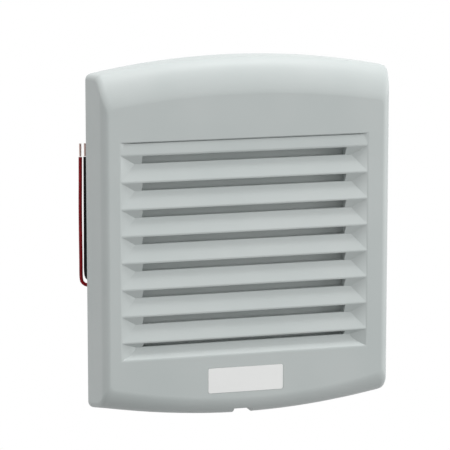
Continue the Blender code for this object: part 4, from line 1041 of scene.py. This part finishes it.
class FAN_OT_mat(bpy.types.Operator):
    """Filter mat of bonded fleece"""

    bl_idname = "filter_fan.mat"
    bl_label = "Filter mat"

    def execute(self, context):
        low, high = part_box("filter_mat")
        made = self.make_pad(low[1], high[1], high[0] - MAT_GAP)
        self.swell(made, low[1] + MAT_SKIN, high[1] - MAT_SKIN)
        # Its deeper tone is painted shade between the fibres, deepened further where the clouds are thin
        fleece = filter_fibre("polyester fleece, thermally bonded", tones("C9C8C0", "F1F0EA"))
        shade(made, fleece, angle=80.0, weighted=False)
        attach(made, "frame")
        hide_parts("filter_mat")
        return {"FINISHED"}

    def make_pad(self, front, back, half):
        """A square pad with soft edges, in an even mesh that can swell."""
        edges = [(front + depth, shrink) for depth, shrink in MAT_EDGE]
        edges.append(((front + back) / 2, MAT_WAIST))
        edges += [(back - depth, shrink) for depth, shrink in reversed(MAT_EDGE)]
        rings = []
        for y, shrink in edges:
            side = half - shrink
            rings.append([(x, y, z) for x, z in rounded_box(-side, side, -side, side, MAT_CORNER)])
        points, faces = loft(rings)
        made = make_object("filter_fleece", points, faces[:-2])
        work = bmesh.new()
        work.from_mesh(made.data)
        for y in (edges[0][0], edges[-1][0]):
            loop = [e for e in work.edges if e.is_boundary and abs(e.verts[0].co.y - y) < NEAR]
            face = bmesh.ops.contextual_create(work, geom=loop)["faces"]
            bmesh.ops.triangulate(work, faces=face)
        work.to_mesh(made.data)
        work.free()
        remesh = made.modifiers.new("even", "REMESH")
        remesh.mode = "VOXEL"
        remesh.voxel_size = MAT_VOXEL
        apply_modifiers(made)
        return made

    def swell(self, made, front, back):
        """Lifts and sinks both faces in soft clouds, within the solid's depth."""
        for vertex in made.data.vertices:
            spot = vertex.co
            lift = noise.fractal(spot / MAT_CLOUD, 1.0, 2.0, 4) * MAT_SWELL
            spot.y += lift if spot.y > MAT_TURN else -lift
            spot.y = min(max(spot.y, front), back)


class FAN_OT_guard(bpy.types.Operator):
    """Welded wire guard on the outlet side"""

    bl_idname = "filter_fan.guard"
    bl_label = "Wire guard"

    def execute(self, context):
        sizes = context.scene.fan_guard
        wire = sizes.ring_wire / 2
        bar = sizes.bar_wire / 2
        rings = [wire_ring(radius, RING_Y, wire, RING_SEGMENTS) for radius in RING_RADII]
        guard = make_object("wire_guard", *together(*rings))
        reach = EYE_PLACE - EYE_RADIUS * math.sqrt(0.5)
        combine(guard, wire_bar(reach, 1.0, SPOKE_Y, bar), "UNION")
        combine(guard, wire_bar(reach, -1.0, SPOKE_Y + BAR_OFFSET, bar), "UNION")
        eyes = []
        for x in (-EYE_PLACE, EYE_PLACE):
            for z in (-EYE_PLACE, EYE_PLACE):
                eyes.append(wire_ring(EYE_RADIUS, SPOKE_Y, wire, EYE_SEGMENTS, x, z))
        combine(guard, together(*eyes), "UNION")
        # Nickel plate on drawn wire: bright and smooth, with a faint mottle
        nickel = metal("nickel-plated spring wire, drawn", tones("B5B6B8", "D2D3D5"), 0.24)
        shade(guard, nickel, angle=40.0, weighted=False)
        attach(guard, "frame")
        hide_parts("finger_guard")
        return {"FINISHED"}


class FAN_OT_frame(bpy.types.Operator):
    """Finishes of the door frame and its foam seal"""

    bl_idname = "filter_fan.frame"
    bl_label = "Door frame"

    def execute(self, context):
        colours = context.scene.fan_colours
        # ABS from an eroded mould, duller than the cover, and its grey a shade deeper: painted shade for the
        # flange in the gap behind the cover
        give(moulded("ABS, moulded, grey", (colours.frame_dark, colours.frame_light), 0.5), "base_frame")
        # Its deeper tone is painted shade in the cell pits
        give(cellular_foam("polyurethane foam, closed cell", tones("1B1B1B", "333333")), "door_gasket")
        return {"FINISHED"}


class FAN_OT_fan(bpy.types.Operator):
    """Finishes of the fan housing and the impeller"""

    bl_idname = "filter_fan.fan"
    bl_label = "Fan"

    def execute(self, context):
        # Glass fibres near the surface make the black a little coarser and duller than plain plastic
        pair = tones("18181A", "222224")
        name = "glass-filled polyester, moulded, black"
        black = moulded(name, pair, 0.44, grain=0.5, relief=(0.2, 0.03))
        give(black, "fan_housing", "impeller")
        return {"FINISHED"}


class FAN_OT_motor(bpy.types.Operator):
    """Finishes of the motor: rotor, bearings, stator and circuit board"""

    bl_idname = "filter_fan.motor"
    bl_label = "Motor"

    def execute(self, context):
        # Zinc on drawn sheet: a cloudy light grey with a soft gloss
        sheet = metal("zinc-plated sheet steel, deep-drawn", tones("A9ACAF", "C6C8CA"), 0.34)
        give(sheet, "rotor_yoke", "retaining_ring")
        # Pressed powder: dark, matt and even
        give(moulded("bonded ferrite, pressed", tones("2E2E31", "3A3A3D"), 0.6), "rotor_magnet")
        # Grinding leaves bright, fine lines round the axis
        pair = tones("B9BABC", "CFD0D2")
        ground = metal("bearing steel, ground", pair, 0.22, streak=(1.0, 12.0, 1.0))
        give(ground, "rotor_shaft", "front_bearing", "rear_bearing", "preload_spring")
        sheets = stacked_sheet("electrical sheet, stamped and stacked", tones("3F4044", "77787D"))
        give(sheets, "stator_core")
        # Its deeper tone is painted shade between the turns
        copper = winding("copper winding wire, enamelled", tones("8E3F16", "C8713A"))
        give(copper, *[f"stator_coil_{number}" for number in range(1, 5)])
        board = circuit_board("glass epoxy board, green solder mask", tones("1F7A41", "11522B"))
        give(board, "motor_board")
        return {"FINISHED"}


class FAN_OT_screws(bpy.types.Operator):
    """Finish of the four pan-head screws"""

    bl_idname = "filter_fan.screws"
    bl_label = "Screws"

    def execute(self, context):
        # Bright passivated zinc: light grey, cloudy, with a soft gloss
        steel = metal("zinc-plated steel, bright passivated", tones("A9ACAF", "C6C8CA"), 0.34)
        give(steel, *[f"fan_screw_{number}" for number in range(1, 5)])
        return {"FINISHED"}


class FAN_PT_panel(bpy.types.Panel):
    """Settings and the steps that build the fan"""

    bl_idname = "FAN_PT_panel"
    bl_label = "Filter Fan"
    bl_space_type = "VIEW_3D"
    bl_region_type = "UI"
    bl_category = "Filter Fan"

    def draw(self, context):
        layout = self.layout
        for group in GROUPS:
            settings = getattr(context.scene, group)
            box = layout.box()
            for name in settings.__annotations__:
                box.prop(settings, name)
        for operator in OPERATORS:
            layout.operator(operator.bl_idname)


GROUPS = {
    "fan_cover": CoverSizes,
    "fan_leads": LeadSizes,
    "fan_guard": GuardSizes,
    "fan_colours": FinishColours,
    "fan_view": ViewSettings,
}
OPERATORS = (
    FAN_OT_stage,
    FAN_OT_leads,
    FAN_OT_cover,
    FAN_OT_mat,
    FAN_OT_guard,
    FAN_OT_frame,
    FAN_OT_fan,
    FAN_OT_motor,
    FAN_OT_screws,
)


def register():
    for group in GROUPS.values():
        bpy.utils.register_class(group)
    for operator in OPERATORS:
        bpy.utils.register_class(operator)
    bpy.utils.register_class(FAN_PT_panel)
    for name, group in GROUPS.items():
        setattr(bpy.types.Scene, name, bpy.props.PointerProperty(type=group))


def unregister():
    for name in GROUPS:
        delattr(bpy.types.Scene, name)
    bpy.utils.unregister_class(FAN_PT_panel)
    for operator in reversed(OPERATORS):
        bpy.utils.unregister_class(operator)
    for group in reversed(list(GROUPS.values())):
        bpy.utils.unregister_class(group)


def main():
    register()
    bpy.ops.filter_fan.stage()
    bpy.ops.filter_fan.leads()
    bpy.ops.filter_fan.cover()
    bpy.ops.filter_fan.mat()
    bpy.ops.filter_fan.guard()
    bpy.ops.filter_fan.frame()
    bpy.ops.filter_fan.fan()
    bpy.ops.filter_fan.motor()
    bpy.ops.filter_fan.screws()


if __name__ == "__main__":
    main()
